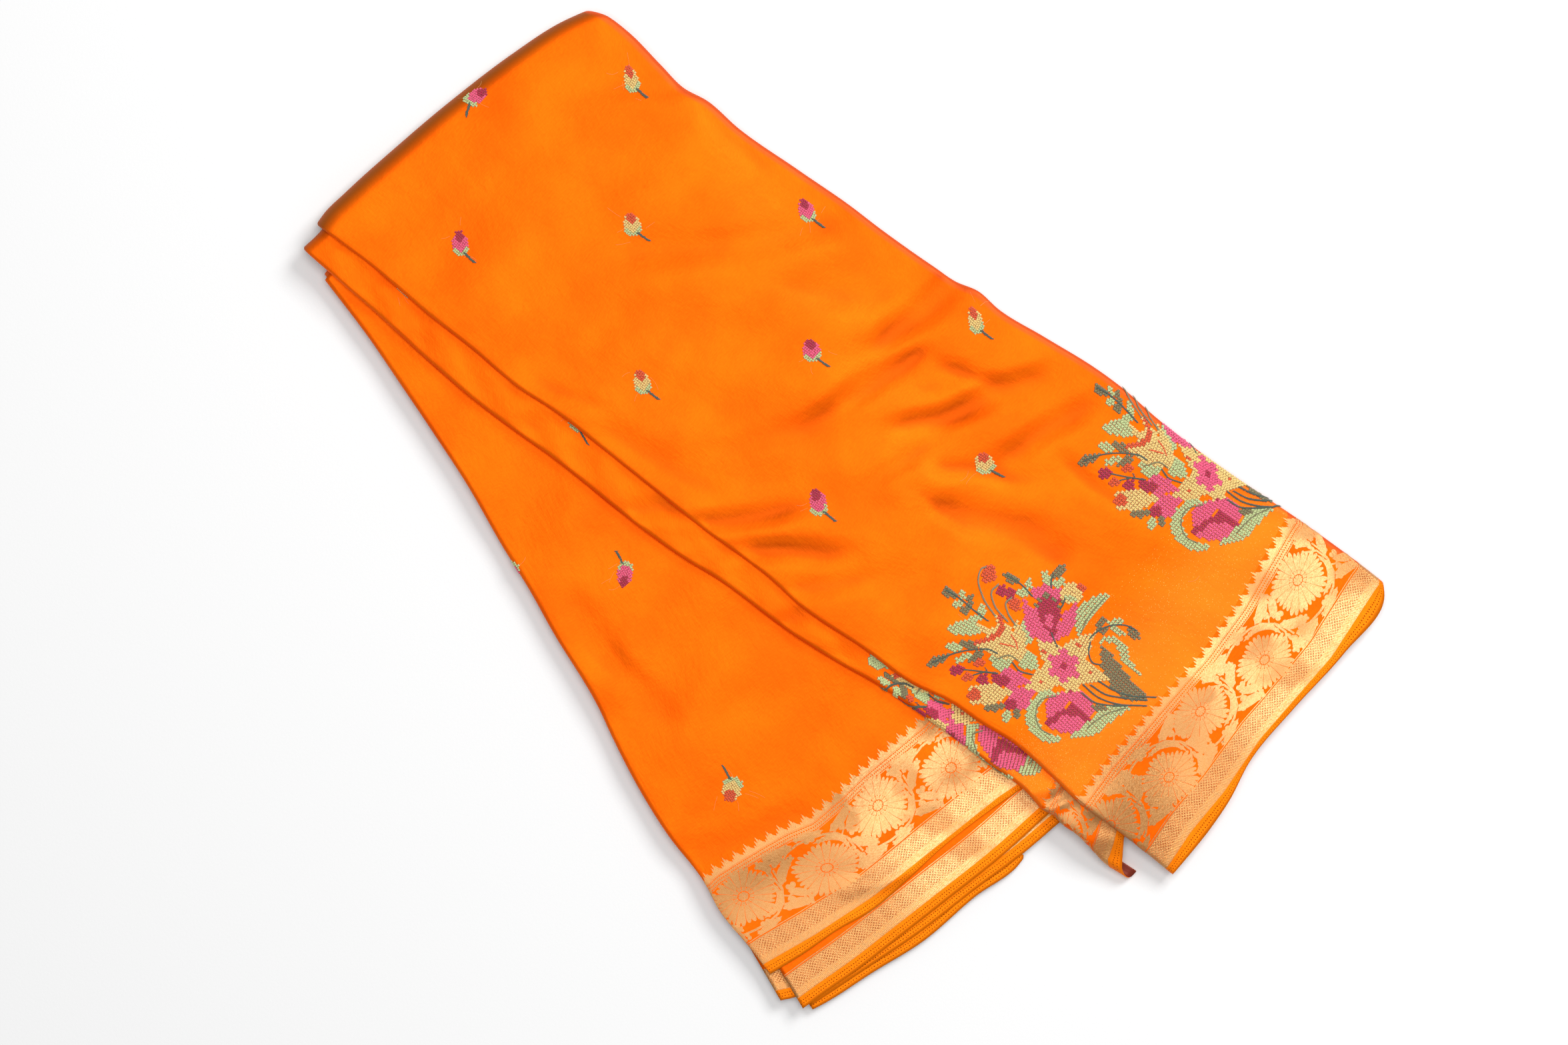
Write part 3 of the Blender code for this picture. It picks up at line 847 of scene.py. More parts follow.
    def twill(self, recipe: Recipe) -> None:
        """Wire up the border's dense gold twill."""
        chance, _ = recipe.grains(recipe.flat(0.8, 1.5), 0.7)
        recipe.set(Base_Color=self.gold.colour(recipe, recipe.rise(chance, 0.2, 0.9)),
                   Metallic=self.gold.metallic, Normal=self.gold_normal(recipe),
                   Roughness=recipe.between(chance, 0.3, 0.5))

    def lattice(self, recipe: Recipe) -> None:
        """Wire up the border's lattice of gold diamonds with a dot in each.

        Args:
            recipe: The material.
        """
        across, along, _ = recipe.parts(recipe.flat())
        across = recipe.math("DIVIDE", across, 1.9)
        along = recipe.math("DIVIDE", along, 1.78)
        gold: object = 0.0
        dot: object = 1.0
        for operation in ("ADD", "SUBTRACT"):
            slant = recipe.math("FRACT", recipe.math(operation, across, along))
            aside = recipe.math("ABSOLUTE", recipe.math("SUBTRACT", slant, 0.5))
            gold = recipe.math("MAXIMUM", gold, recipe.rise(aside, 0.20, 0.27))
            dot = recipe.times(dot, recipe.rise(aside, 0.17, 0.12))
        gold = recipe.math("MAXIMUM", gold, dot)
        chance, _ = recipe.grains(recipe.flat(0.8, 1.5), 0.6)
        thread = self.gold.colour(recipe, chance)
        recipe.set(Base_Color=recipe.blend(gold, self.deep_orange, thread),
                   Metallic=recipe.between(gold, 0.3, self.gold.metallic), Roughness=0.38,
                   Normal=recipe.relief(gold, 0.12, self.gold_normal(recipe)))

    def wrong_side(self, recipe: Recipe) -> None:
        """Wire up the cloth's duller wrong side with painted shade, and the border's gold showing
        through.

        Args:
            recipe: The material.
        """
        along = recipe.parts(recipe.flat())[1]
        inside = recipe.times(recipe.rise(along, 6.0, 6.6), recipe.rise(along, 17.0, 16.0))
        floats = recipe.rise(recipe.noise(recipe.flat(0.3, 1.0), 0.7), 0.4, 0.6)
        colour = recipe.blend(recipe.times(inside, floats), self.wrong, self.wrong_gold)
        recipe.set(Base_Color=colour, Metallic=0.15, Roughness=0.55, Normal=self.crepe(recipe))


@dataclass(frozen=True)
class GoldFinish:
    """Zari: gold thread woven over the satin."""

    thread: GoldThread = GoldThread()
    roughness: float = 0.36

    def make(self) -> Material:
        """Make the material, with a fine rib and threads that catch the light unevenly.

        Returns:
            The material.
        """
        recipe = Recipe("zari gold")
        chance, _ = recipe.grains(recipe.flat(0.9, 1.6), 0.65)
        uneven = recipe.noise(recipe.flat(1.0, 0.4), 0.5, 3.0)
        ribs = recipe.ribs(recipe.parts(recipe.flat())[0], 0.45)
        recipe.set(Base_Color=self.thread.colour(recipe, chance),
                   Metallic=self.thread.metallic,
                   Roughness=recipe.between(chance, self.roughness, 0.5),
                   Normal=recipe.relief(uneven, 0.15, recipe.relief(ribs, 0.03)))
        return recipe.material


class Thread(Enum):
    """The embroidery threads, with their screen colours."""

    CREAM = (255, 220, 134)
    PINK = (255, 96, 142)
    MAGENTA = (192, 24, 74)
    CORAL = (242, 88, 36)
    MINT = (206, 222, 156)
    SLATE = (136, 130, 90)
    STEM = (78, 94, 82)
    TENDRIL = (140, 134, 104)
    HAIR = (238, 172, 96)

    def number(self) -> int:
        """Return the number of its material in an embroidered piece."""
        return list(Thread).index(self)


@dataclass(frozen=True)
class ThreadFinish:
    """Cotton embroidery thread."""

    roughness: float = 0.58
    sheen: float = 0.3
    # Painted shade: the cloth seen between stitches, mixed into the dark layer under them.
    shaded_cloth_between: Colour = dyed(176, 78, 12)

    def make(self, thread: Thread) -> Material:
        """Make the material of one colour, with a twist and a random tint of its own in each stitch,
        and painted shade for the dark layer under the stitches.

        Args:
            thread: The thread's colour.

        Returns:
            The material.
        """
        recipe = Recipe(f"thread {thread.name.lower()}")
        colour = dyed(*thread.value)
        # Low tints give the painted shade of the layer under the stitches; high ones vary each
        # stitch's tone at random.
        gap_shade_and_tone = tuple(0.26 * channel + 0.4 * under
                       for channel, under in zip(colour[:3], self.shaded_cloth_between)) + (1.0,)
        strands = recipe.noise(recipe.solid(), 0.22, 2.0)
        recipe.set(Base_Color=recipe.blend(recipe.attribute("tint"), gap_shade_and_tone, colour),
                   Roughness=self.roughness, Sheen_Weight=self.sheen, Sheen_Roughness=0.4,
                   Normal=recipe.relief(strands, 0.12))
        return recipe.material


@dataclass(frozen=True)
class HiddenFinish:
    """The folded edges of the hidden pleats."""

    orange: Colour = dyed(240, 100, 8)
    shade: Colour = dyed(168, 52, 4)

    def make(self) -> Material:
        """Make the material: satin with fine lines of painted shade where one pleat lies on the
        next.

        Returns:
            The material.
        """
        recipe = Recipe("hidden pleats")
        drift = recipe.times(recipe.noise(recipe.solid(), 30.0), 2.4)
        level = recipe.plus(recipe.parts(recipe.solid())[2], drift)
        pleat = recipe.math("FRACT", recipe.math("DIVIDE", level, 0.9))
        # Painted shade in the gaps between pleats.
        gap = recipe.rise(recipe.math("ABSOLUTE", recipe.math("SUBTRACT", pleat, 0.5)), 0.32, 0.5)
        under = recipe.relief(recipe.noise(recipe.solid(), 0.5, 3.0), 0.08)
        recipe.set(Base_Color=recipe.blend(gap, self.orange, self.shade), Metallic=0.3,
                   Roughness=0.42, Sheen_Weight=0.2,
                   Normal=recipe.relief(recipe.gone(gap), 0.3, under))
        return recipe.material


@dataclass(frozen=True)
class FloorFinish:
    """A plain pale floor."""

    pale: Colour = (0.92, 0.92, 0.92, 1.0)

    def make(self) -> Material:
        """Make the material, with the faint grain of thick paper.

        Returns:
            The material.
        """
        recipe = Recipe("pale floor")
        grain = recipe.noise(recipe.solid(), 1.4, 3.0)
        recipe.set(Base_Color=self.pale, Roughness=0.9, Normal=recipe.relief(grain, 0.05))
        return recipe.material


class Slot(Enum):
    """The record's material slots."""

    SATIN = "satin_cloth"
    HIDDEN = "hidden_cloth"
    STITCH = "stitch_thread"
    ZARI = "zari_thread"


def put_in_scene(name: str, data: bpy.types.ID) -> bpy.types.Object:
    """Return a new object in the scene that holds a mesh, a light or a camera.

    Args:
        name: Its name.
        data: What it holds.

    Returns:
        The object.
    """
    thing = bpy.data.objects.new(name, data)
    bpy.context.scene.collection.objects.link(thing)
    return thing


def give_thickness(thing: bpy.types.Object, thickness: float, inside: int, rim: int) -> None:
    """Give a sheet a wall below its upper side.

    Args:
        thing: The sheet.
        thickness: The wall's thickness.
        inside: How much further down its list of materials the wrong side's lie.
        rim: How much further down the cut edges' lie.
    """
    wall = thing.modifiers.new("thickness", "SOLIDIFY")
    wall.thickness = thickness * MM
    wall.offset = -1.0
    wall.material_offset = inside
    wall.material_offset_rim = rim


def add_piece(name: str, mesh: Mesh, materials: Sequence[Material],
              replaces: Sequence[str] = ()) -> bpy.types.Object:
    """Put a mesh into the scene as a piece of the sari.

    Args:
        name: The piece's name.
        mesh: Its finished mesh, in metres.
        materials: Its materials, in the order that its faces name them.
        replaces: The CAD nodes that it stands for.

    Returns:
        The piece.
    """
    thing = put_in_scene(name, mesh)
    for material in materials:
        mesh.materials.append(material)
    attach(thing, "root")
    if replaces:
        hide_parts(*replaces)
    LOG.info("%s: %d faces", name, len(mesh.polygons))
    return thing


def add_attribute(mesh: Mesh, name: str, domain: str, values: Array) -> None:
    """Write numbers onto a mesh as an attribute that a material can read."""
    layer = mesh.attributes.new(name, "FLOAT", domain)
    layer.data.foreach_set("value", np.ascontiguousarray(values, np.float32).ravel())


def net_mesh(name: str, p: Array, q: Array, points: Array) -> tuple[Mesh, Array]:
    """Make a net of faces whose vertices lie at given points.

    Args:
        name: The mesh's name.
        p: Flat places across, by row and column.
        q: Flat places in from the cut edge, by row and column.
        points: Where each lies, in millimetres, by row and column.

    Returns:
        The mesh, in metres, with its flat places as the UV map "flat", and which place of the net
        each vertex holds, counted by rows.
    """
    rows, columns = p.shape
    grid = bmesh.new()
    bmesh.ops.create_grid(grid, x_segments=columns - 1, y_segments=rows - 1, size=1.0)
    spots = (np.array([vert.co[:2] for vert in grid.verts]) + 1.0) / 2.0
    places = np.rint(spots * (columns - 1, rows - 1)).astype(int)
    order = places[:, 1] * columns + places[:, 0]
    mesh = bpy.data.meshes.new(name)
    grid.to_mesh(mesh)
    grid.free()
    mesh.vertices.foreach_set("co", (points.reshape(-1, 3)[order] * MM).ravel())
    corners = np.empty(len(mesh.loops), np.int32)
    mesh.loops.foreach_get("vertex_index", corners)
    spread = np.stack((p.ravel(), q.ravel()), axis=1)[order] * MM
    mesh.uv_layers.new(name="flat").data.foreach_set("uv", spread[corners].ravel())
    mesh.shade_smooth()
    mesh.update()
    return mesh, order


@dataclass
class Stretch:
    """One stretch of cloth: its surface, its net and the bands woven into it."""

    name: str
    node: str
    surface: Surface
    rests_on: tuple[str, ...]
    cell: float = 2.1
    has_tissue: bool = False
    left_run: float = 0.0
    right_run: float = 0.0
    edge_cell: float = 0.8
    # How far round the mid fold's roll its painted shade grows to full.
    roll_shade_reach: float = 9.0

    def net(self) -> tuple[Array, Array, Array]:
        """Return the net's flat places, denser round the folded edges.

        Returns:
            The places across and in from the cut edge, by row and column, and the stretch's
            length at each column.
        """
        surface = self.surface
        shares = np.linspace(0.0, 1.0, round(surface.wide / self.cell) + 1)
        left, right = (np.linspace(0.0, run, round(run / self.edge_cell) + 1)[1:]
                       for run in (self.left_run, self.right_run))
        left = -left[::-1]
        length = surface.patch.length(np.pad(shares, (len(left), len(right)), "edge"))
        q = self.rows(length)
        wide = np.full(len(q), surface.wide)
        if surface.is_fanned:
            v = q[:, len(left)] / length[0]
            wide = surface.patch.width(v) - surface.left.radius_at(v)
        ones = np.ones((len(q), 1))
        p = np.hstack((ones * left, wide[:, None] * shares, wide[:, None] + ones * right))
        return p, q, length

    def rows(self, length: Array) -> Array:
        """Return the net's flat places in from the cut edge.

        Args:
            length: The stretch's length from the cut edge at each column.

        Returns:
            The places, by row and column: fixed ones over the border, then even shares.
        """
        roll = self.surface.roll
        fixed = np.concatenate((BAND_ROWS, np.linspace(LATTICE_END, GOLD_END, 22)[1:],
                                np.linspace(GOLD_END, TISSUE_END, 25)[1:]))
        fixed = fixed[fixed < float(length.min()) * 0.8]
        rest = length - roll - fixed[-1]
        count = max(round(float(rest.max()) / self.cell), 2)
        rows = [np.full_like(length, mark) for mark in fixed]
        rows += [fixed[-1] + share * rest for share in np.linspace(0.0, 1.0, count + 1)[1:]]
        if roll:
            rows += [length - roll + roll * math.radians(ROLL_TURN) * step / ROLL_ROWS
                     for step in range(1, ROLL_ROWS + 1)]
        return np.array(rows)

    def bands(self, mesh: Mesh) -> None:
        """Give each face the number of the weave that its band has.

        Args:
            mesh: The stretch's net.
        """
        spread = np.empty(len(mesh.loops) * 2)
        mesh.uv_layers["flat"].data.foreach_get("uv", spread)
        q = spread.reshape(-1, 4, 2).mean(axis=1)[:, 1] / MM
        ends = (GOLD_START, TWILL_END, LATTICE_END, GOLD_END, TISSUE_END)
        weaves = np.array((1, 2, 3, 0, 4 if self.has_tissue else 0, 0), np.int32)
        mesh.polygons.foreach_set("material_index", weaves[np.searchsorted(ends, q)])

    def build(self, cloth: Sequence[Material]) -> None:
        """Args:
            cloth: The materials, one for each weave.
        """
        p, q, length = self.net()
        points = self.surface.place(p, q)
        mesh, order = net_mesh(self.name, p, q, points)
        self.bands(mesh)
        turned = q - (length - self.surface.roll) if self.surface.roll else np.zeros(q.shape)
        is_level = (p > 0) & (p < self.surface.wide) & (turned <= 0)
        # Masks for painted colour: shade on the mid fold's roll, light on the right fold's edge and
        # shade in the crease troughs.
        for name, values in (
                ("turned", smooth_step(turned / self.roll_shade_reach)),
                ("fold_light_tint", smooth_step(p - self.surface.wide + 2.0) * (self.right_run > 0)),
                ("crease_shade", np.where(is_level, crease_shade_depths(points[..., 2], 4), 0.0))):
            add_attribute(mesh, name, "POINT", values.ravel()[order])
        thing = add_piece(self.name, mesh, cloth, (self.node,))
        give_thickness(thing, CLOTH_THICKNESS, len(cloth), 0)


def crease_shade_depths(heights: Array, reach: int) -> Array:
    """Return how far each place of a net lies below the mean of the places round it, the mask of the
    painted crease shade.

    Args:
        heights: The heights, by row and column.
        reach: How many rows and columns round it count.

    Returns:
        Depths, or 0 where a place lies higher.
    """
    span = 2 * reach + 1
    around = np.lib.stride_tricks.sliding_window_view(np.pad(heights, reach, "edge"),
                                                      (span, span))
    return np.maximum(around.mean(axis=(2, 3)) - heights, 0.0)


def sag(x: Array, y: Array) -> Array:
    """Return how far the upper half hangs down past the lower half's hidden edges.

    Args:
        x: Places across the pleats.
        y: Places along them.

    Returns:
        Depths.
    """
    corner_x, corner_y = HIDDEN_CORNER
    past_side = (x - corner_x) - HIDDEN_SIDE_LEAN * (y - corner_y)
    past_end = corner_y + LOWER_EDGE_LEAN * (x - corner_x) - y
    past = np.hypot(np.maximum(past_side, 0.0), np.maximum(past_end, 0.0))
    return SAG * smooth_step(past / SAG_REACH)


def shifted(points: Line, dx: float, low: float, high: float) -> Line:
    """Return an edge's points between two places along the pleats, moved across them."""
    return tuple((x + dx, y) for x, y in points if low < y < high)


@dataclass(frozen=True)
class Lie:
    """How a stretch lies: its level, waves and creases, which level out at the deepest."""

    level: float
    waves: Waves
    creases: tuple[Crease, ...]
    deepest: float = 2.2
    is_sagging: bool = True

    def height(self, x: Array, y: Array) -> Array:
        """Return the height of the cloth's upper side.

        Args:
            x: Places across the pleats.
            y: Places along them.

        Returns:
            Heights above the surface that the sari lies on.
        """
        bumps = sum(crease.relief(x, y) for crease in self.creases) + self.waves.relief(x, y)
        bumps = np.where(bumps < 0, self.deepest * np.tanh(bumps / self.deepest), bumps)
        return (self.level - sag(x, y) if self.is_sagging else self.level) + bumps


@dataclass
class ClothStack:
    """All the stretches of cloth that show, folded edges and creases included."""

    finish: ClothFinish = ClothFinish()
    top_wide: float = 180.0
    second_wide: float = 28.0
    lower_wide: float = 172.0
    layer_wide: float = 168.0
    top_creases: tuple[Crease, ...] = creases(
        ((87.3, 136.7), (151.9, 71.5), 1.7, 8.4, 2.5, 0.17),
        ((171.8, -0.9), (131.7, 7.3), 2.5, 6.6, -2.0, 0.23),
        ((121.2, -7.2), (77.4, 8.2), 2.0, 6.0, 2.0, 0.20),
        ((120.5, -6.9), (97.6, -1.0), 1.2, 3.8, 0.0, 0.25),
        ((137.2, -33.4), (141.9, -48.2), 1.3, 4.2, 0.6, 0.20),
        ((154.8, -65.2), (121.9, -46.3), 2.0, 6.0, 1.2, 0.25),
        ((121.9, -46.3), (102.2, -31.4), 1.7, 5.3, -1.0, 0.25),
        ((152.7, -93.7), (123.0, -82.9), 2.1, 6.0, 1.5, 0.25),
        ((94.2, -60.8), (108.7, -86.7), 1.3, 4.8, -1.5, 0.20),
        ((133.0, -114.0), (132.8, -135.7), 0.9, 4.8, 0.8, 0.20),
        ((74.5, -59.1), (75.3, -73.4), 1.2, 5.0, 0.0, 0.15),
        ((75.3, -73.4), (92.0, -106.4), 1.3, 5.8, 1.6, 0.20),
        ((79.3, -82.2), (91.3, -126.8), 1.7, 7.2, -2.0, 0.20),
        ((150.8, 195.6), (170.2, 172.9), 1.3, 6.0, 1.0, 0.20),
        ((-2.7, 21.6), (15.5, 1.6), 1.3, 6.0, 0.8, 0.25),
        ((2.3, -11.6), (13.8, -31.4), 1.2, 5.0, -0.8, 0.25),
        ((-4.3, 22.0), (22.1, -1.7), 1.5, 4.8, 1.0, 0.20),
        ((-0.2, -7.8), (20.9, -35.5), 1.2, 5.4, -1.2, 0.20),
        ((69.4, 5.8), (35.4, 34.7), 1.0, 6.5, 2.5, 0.17),
        ((1.5, 92.1), (7.1, 37.3), 0.9, 6.5, 1.0, 0.15),
        ((0.9, 128.9), (5.6, 112.7), 0.9, 4.6, 0.0, 0.15),
        ((72.7, -34.5), (89.3, -40.4), 1.0, 4.6, 0.8, 0.20),
        ((110.5, -39.6), (101.8, -30.9), 1.0, 4.4, 0.0, 0.20),
        ((-4.6, -35.2), (13.0, -52.5), 1.0, 5.0, 0.8, 0.20),
        ((161.5, 122.4), (165.1, 148.3), 0.9, 6.0, -1.0, 0.15),
        ((171.3, -9.3), (173.6, -21.5), 1.0, 4.0, 0.0, 0.20),
        ((119.1, 62.3), (129.6, 42.4), 0.9, 6.0, 1.0, 0.15),
    )
    lower_creases: tuple[Crease, ...] = creases(
        ((-85.3, 48.0), (-95.6, 21.7), 1.6, 7.8, 1.0, 0.20),
        ((-95.6, 21.7), (-100.8, -9.1), 1.4, 6.6, -1.0, 0.20),
        ((-146.9, -80.2), (-103.8, -103.3), 1.2, 7.2, 1.5, 0.17),
        ((-111.8, -152.9), (-94.4, -166.5), -1.2, 5.4, 0.0, 0.15),
    )
    second_creases: tuple[Crease, ...] = creases(
        ((-27.0, 60.0), (-18.0, 52.0), 0.8, 4.8, 0.0, 0.25),
        ((-26.0, 18.0), (-16.0, 10.0), 0.8, 4.8, 0.0, 0.25),
        ((-27.0, -38.0), (-14.0, -44.0), 0.9, 4.8, 0.0, 0.25),
        ((-21.0, -188.0), (-14.0, -190.0), -1.0, 4.1, 0.0, 0.15),
        ((-21.0, -203.0), (-14.0, -204.0), -1.0, 4.1, 0.0, 0.15),
    )

    def top(self) -> Stretch:
        """Return the top doubled panel, with the mid fold.

        Returns:
            The stretch.
        """
        lie = Lie(TOP_LEVEL - 0.5, Waves(11, 0.6), self.top_creases)
        surface = Surface(Patch(TOP_LEFT, TOP_RIGHT, TOP_BORDER, TOP_FOLD), lie.height,
                          self.top_wide, Fold(2.3, 180.0, tight_from=0.88), Fold(3.0, 78.0),
                          TOP_ROLL, TOP_GUIDES)
        return Stretch("top_cloth", "top_stretch", surface, ("hidden_pleats",), 2.0, True,
                       11.0, 4.08)

    def second(self) -> Stretch:
        """Return the strip beside it, whose border end stands open as a loop.

        Returns:
            The stretch.
        """
        right = (SECOND_BORDER[-1], *shifted(TOP_LEFT, TUCK, -240.0, 270.0), SECOND_FOLD[-1])
        lie = Lie(SECOND_LEVEL - 0.2, Waves(31, 0.42, 16.0, 50.0), self.second_creases)
        surface = Surface(Patch(SECOND_LEFT, right, SECOND_BORDER, SECOND_FOLD),
                          lie.height, self.second_wide,
                          Fold(2.7, 180.0, 0.9, 0.85), Fold(tighter=0.0), SECOND_ROLL,
                          SECOND_GUIDES, True)
        return Stretch("second_cloth", "second_stretch", surface,
                       ("hidden_pleats", "lower_cloth_1"), 1.6, True, 14.8)

    def lower(self) -> Stretch:
        """Return the lower half's top layer.

        Returns:
            The stretch.
        """
        right = (LOWER_BORDER[-1], *shifted(SECOND_LEFT, TUCK, -185.0, 255.0), LOWER_FOLD[-1])
        lie = Lie(LOWER_LEVEL - 0.2, Waves(23, 0.5), self.lower_creases, 1.5, False)
        surface = Surface(Patch(LOWER_LEFT, right, LOWER_BORDER, LOWER_FOLD),
                          lie.height, self.lower_wide,
                          Fold(2.6, 65.0, tighter=0.0, shallow=0.35), Fold(tighter=0.0),
                          0.0, LOWER_GUIDES, is_fanned=True)
        return Stretch("lower_cloth_1", "lower_stretch_1", surface,
                       ("hidden_pleats", "lower_cloth_2"), 2.1, False, 2.95)

    def layer(self, depth: int) -> Stretch:
        """Return one of the layers of which only the border end shows.

        Args:
            depth: 1 for the layer under the lower half's top one, up to 4.

        Returns:
            The layer.
        """
        corner, border = LAYERS_LEFT[depth - 1], LAYERS_BORDER[depth - 1]
        inner = (corner, *(point for point in LAYERS_END
                           if point[0] > corner[0] + 4 and point[1] < corner[1] + 1))
        patch = Patch((border[0], inner[0]), (border[-1], inner[-1]), border, inner)
        waves = Waves(40 + depth, 0.16)
        surface = Surface(patch, lambda x, y: LOWER_LEVEL - depth * LAYER_STEP + waves.relief(x, y),
                          self.layer_wide, Fold(tighter=0.0), Fold(tighter=0.0))
        below = (f"lower_cloth_{depth + 2}",) if depth < 4 else ("hidden_pleats",)
        return Stretch(f"lower_cloth_{depth + 1}", f"lower_stretch_{depth + 1}", surface, below,
                       2.1)

    def build(self) -> dict[str, Surface]:
        """Build every stretch.

        Returns:
            The surfaces that decoration is laid on, by the stretch's name.
        """
        weaves = (Weave.SATIN, Weave.SELVEDGE, Weave.TWILL, Weave.LATTICE, Weave.TISSUE,
                  Weave.WRONG_SIDE)
        cloth = [self.finish.make(weave) for weave in weaves]
        stretches = [self.layer(depth) for depth in (4, 3, 2, 1)]
        stretches += [self.lower(), self.second(), self.top()]
        for stretch in stretches:
            stretch.build(cloth)
        return {stretch.name: stretch.surface for stretch in stretches}


@dataclass
class HiddenPleats:
    """The hidden pleats: the stack's body, whose sides show as many thin folded edges."""

    finish: HiddenFinish = HiddenFinish()
    pitch: float = 1.7
    relief: float = 0.38
    unevenness: float = 0.3
    cuts: int = 2
    flat_from: float = 0.75
    lowered: float = 2.3
    lowered_from: float = 12.0

    def build(self) -> None:
        """Build the pleats from a merged copy of the CAD solid."""
        source = bpy.data.objects["hidden_layers"]
        solid = bmesh.new()
        solid.from_mesh(source.data)
        bmesh.ops.remove_doubles(solid, verts=solid.verts, dist=1e-6)
        bmesh.ops.join_triangles(solid, faces=solid.faces, angle_face_threshold=0.7,
                                 angle_shape_threshold=0.7)
        for _ in range(self.cuts):
            bmesh.ops.subdivide_edges(solid, edges=solid.edges, cuts=1, use_grid_fill=True)
        solid.normal_update()
        draw = np.random.default_rng(5)
        leans = draw.uniform(0.0, math.tau, 4)
        for vert in solid.verts:
            if vert.normal.z > self.flat_from and vert.co.z > self.lowered_from * MM:
                vert.co.z -= self.lowered * MM
            if abs(vert.normal.z) > self.flat_from or vert.co.z < 0.4 * MM:
                continue
            x, y, z = (value / MM for value in vert.co)
            drift = 0.5 * math.sin(x / 17.0 + leans[0]) + 0.5 * math.sin(y / 23.0 + leans[1])
            ridge = math.cos(math.tau * (z + drift) / self.pitch)
            uneven = 0.5 * math.sin((x + y) / 9.0 + leans[2]) * math.sin((x - y) / 6.0 + leans[3])
            out = (self.relief * ridge + self.unevenness * uneven - 0.35) * MM
            vert.co.x += vert.normal.x * out
            vert.co.y += vert.normal.y * out
        bmesh.ops.recalc_face_normals(solid, faces=solid.faces)
        mesh = bpy.data.meshes.new("hidden_pleats")
        solid.to_mesh(mesh)
        solid.free()
        mesh.shade_smooth()
        add_piece("hidden_pleats", mesh, [self.finish.make()], ("hidden_layers",))


@dataclass(frozen=True)
class Lamp:
    """A square soft light: its power in watts, its side and its place in metres.

    It stands to the picture's right and towards its top, at a height over the floor.
    """

    name: str
    power: float
    side: float
    right: float
    up: float
    height: float


@dataclass
class Studio:
    """The plain floor, the soft lights and the camera straight above."""

    centre: Pair = (17.6, -7.4)
    frame_width: float = 823.2
    focus_height: float = 14.0
    camera_height: float = 2200.0
    sensor: float = 36.0
    image_right: Pair = (0.6056, -0.7958)
    image_up: Pair = (0.7958, 0.6056)
    floor_size: float = 6.0
    world_grey: float = 0.26
    lamps: tuple[Lamp, ...] = (Lamp("overhead", 46.0, 1.6, 0.1, 0.2, 2.9),
                               Lamp("key", 30.0, 0.9, 1.15, 1.2, 1.6))
    finish: FloorFinish = FloorFinish()

    def add_floor(self) -> None:
        """Lay the floor under the sari."""
        plane = bmesh.new()
        bmesh.ops.create_grid(plane, x_segments=1, y_segments=1, size=self.floor_size / 2)
        mesh = bpy.data.meshes.new("floor")
        plane.to_mesh(mesh)
        plane.free()
        mesh.materials.append(self.finish.make())
        put_in_scene("floor", mesh)

    def add_light(self, lamp: Lamp) -> None:
        """Hang a light that faces the middle of the picture.

        Args:
            lamp: What it is like and where it hangs.
        """
        light = bpy.data.lights.new(lamp.name, "AREA")
        light.energy = lamp.power
        light.size = lamp.side
        holder = put_in_scene(lamp.name, light)
        x, y = (lamp.right * over + lamp.up * ahead
                for over, ahead in zip(self.image_right, self.image_up))
        holder.location = (x, y, lamp.height)
        back = holder.location.normalized()
        holder.rotation_euler = back.to_track_quat("Z", "Y").to_euler()

    def add_camera(self) -> None:
        """Set the camera straight above, rolled as the picture is."""
        lens = self.sensor * (self.camera_height - self.focus_height) / self.frame_width
        data = bpy.data.cameras.new("camera")
        data.sensor_width = self.sensor
        data.lens = lens
        data.clip_end = 20.0
        camera = put_in_scene("camera", data)
        right, up = (*self.image_right, 0.0), (*self.image_up, 0.0)
        turn = Matrix((right, up, (0.0, 0.0, 1.0))).transposed().to_4x4()
        place = (self.centre[0] * MM, self.centre[1] * MM, self.camera_height * MM)
        camera.matrix_world = Matrix.Translation(place) @ turn
        bpy.context.scene.camera = camera

    def build(self) -> None:
        """Set up the floor, the lights, the world and the camera."""
        self.add_floor()
        for lamp in self.lamps:
            self.add_light(lamp)
        world = bpy.data.worlds.new("studio")
        world.use_nodes = True
        sky = world.node_tree.nodes["Background"]
        sky.inputs["Color"].default_value = (self.world_grey,) * 3 + (1.0,)
        bpy.context.scene.world = world
        bpy.context.scene.view_settings.view_transform = "Standard"
        self.add_camera()


@dataclass(frozen=True)
class Template:
    """A small shape that many copies are made of."""

    corners: Array
    faces: Array

    @classmethod
    def taken(cls, shape: bmesh.types.BMesh) -> Template:
        """Take the corners and faces out of a bmesh, and free it.

        Args:
            shape: The bmesh.

        Returns:
            The template.
        """
        corners = np.array([vert.co for vert in shape.verts])
        faces = np.array([[vert.index for vert in face.verts] for face in shape.faces])
        shape.free()
        return cls(corners, faces)

    @classmethod
    def grid(cls, rows: int, columns: int) -> Template:
        """Return a flat net with rows from 0 to 1 along x and columns from -1 to 1 along y.

        Args:
            rows: Its faces along x.
            columns: Its faces along y.

        Returns:
            The template.
        """
        net = bmesh.new()
        bmesh.ops.create_grid(net, x_segments=rows, y_segments=columns, size=1.0)
        template = cls.taken(net)
        template.corners[:, 0] = (template.corners[:, 0] + 1.0) / 2.0
        return template

    @classmethod
    def grain(cls) -> Template:
        """Return a rounded grain, one unit to each side, whose poles lie along x.

        Returns:
            The template.
        """
        ball = bmesh.new()
        bmesh.ops.create_uvsphere(ball, u_segments=6, v_segments=3, radius=1.0)
        bmesh.ops.rotate(ball, verts=ball.verts, matrix=Matrix.Rotation(math.pi / 2, 3, "Y"))
        bmesh.ops.triangulate(ball, faces=ball.faces)
        return cls.taken(ball)


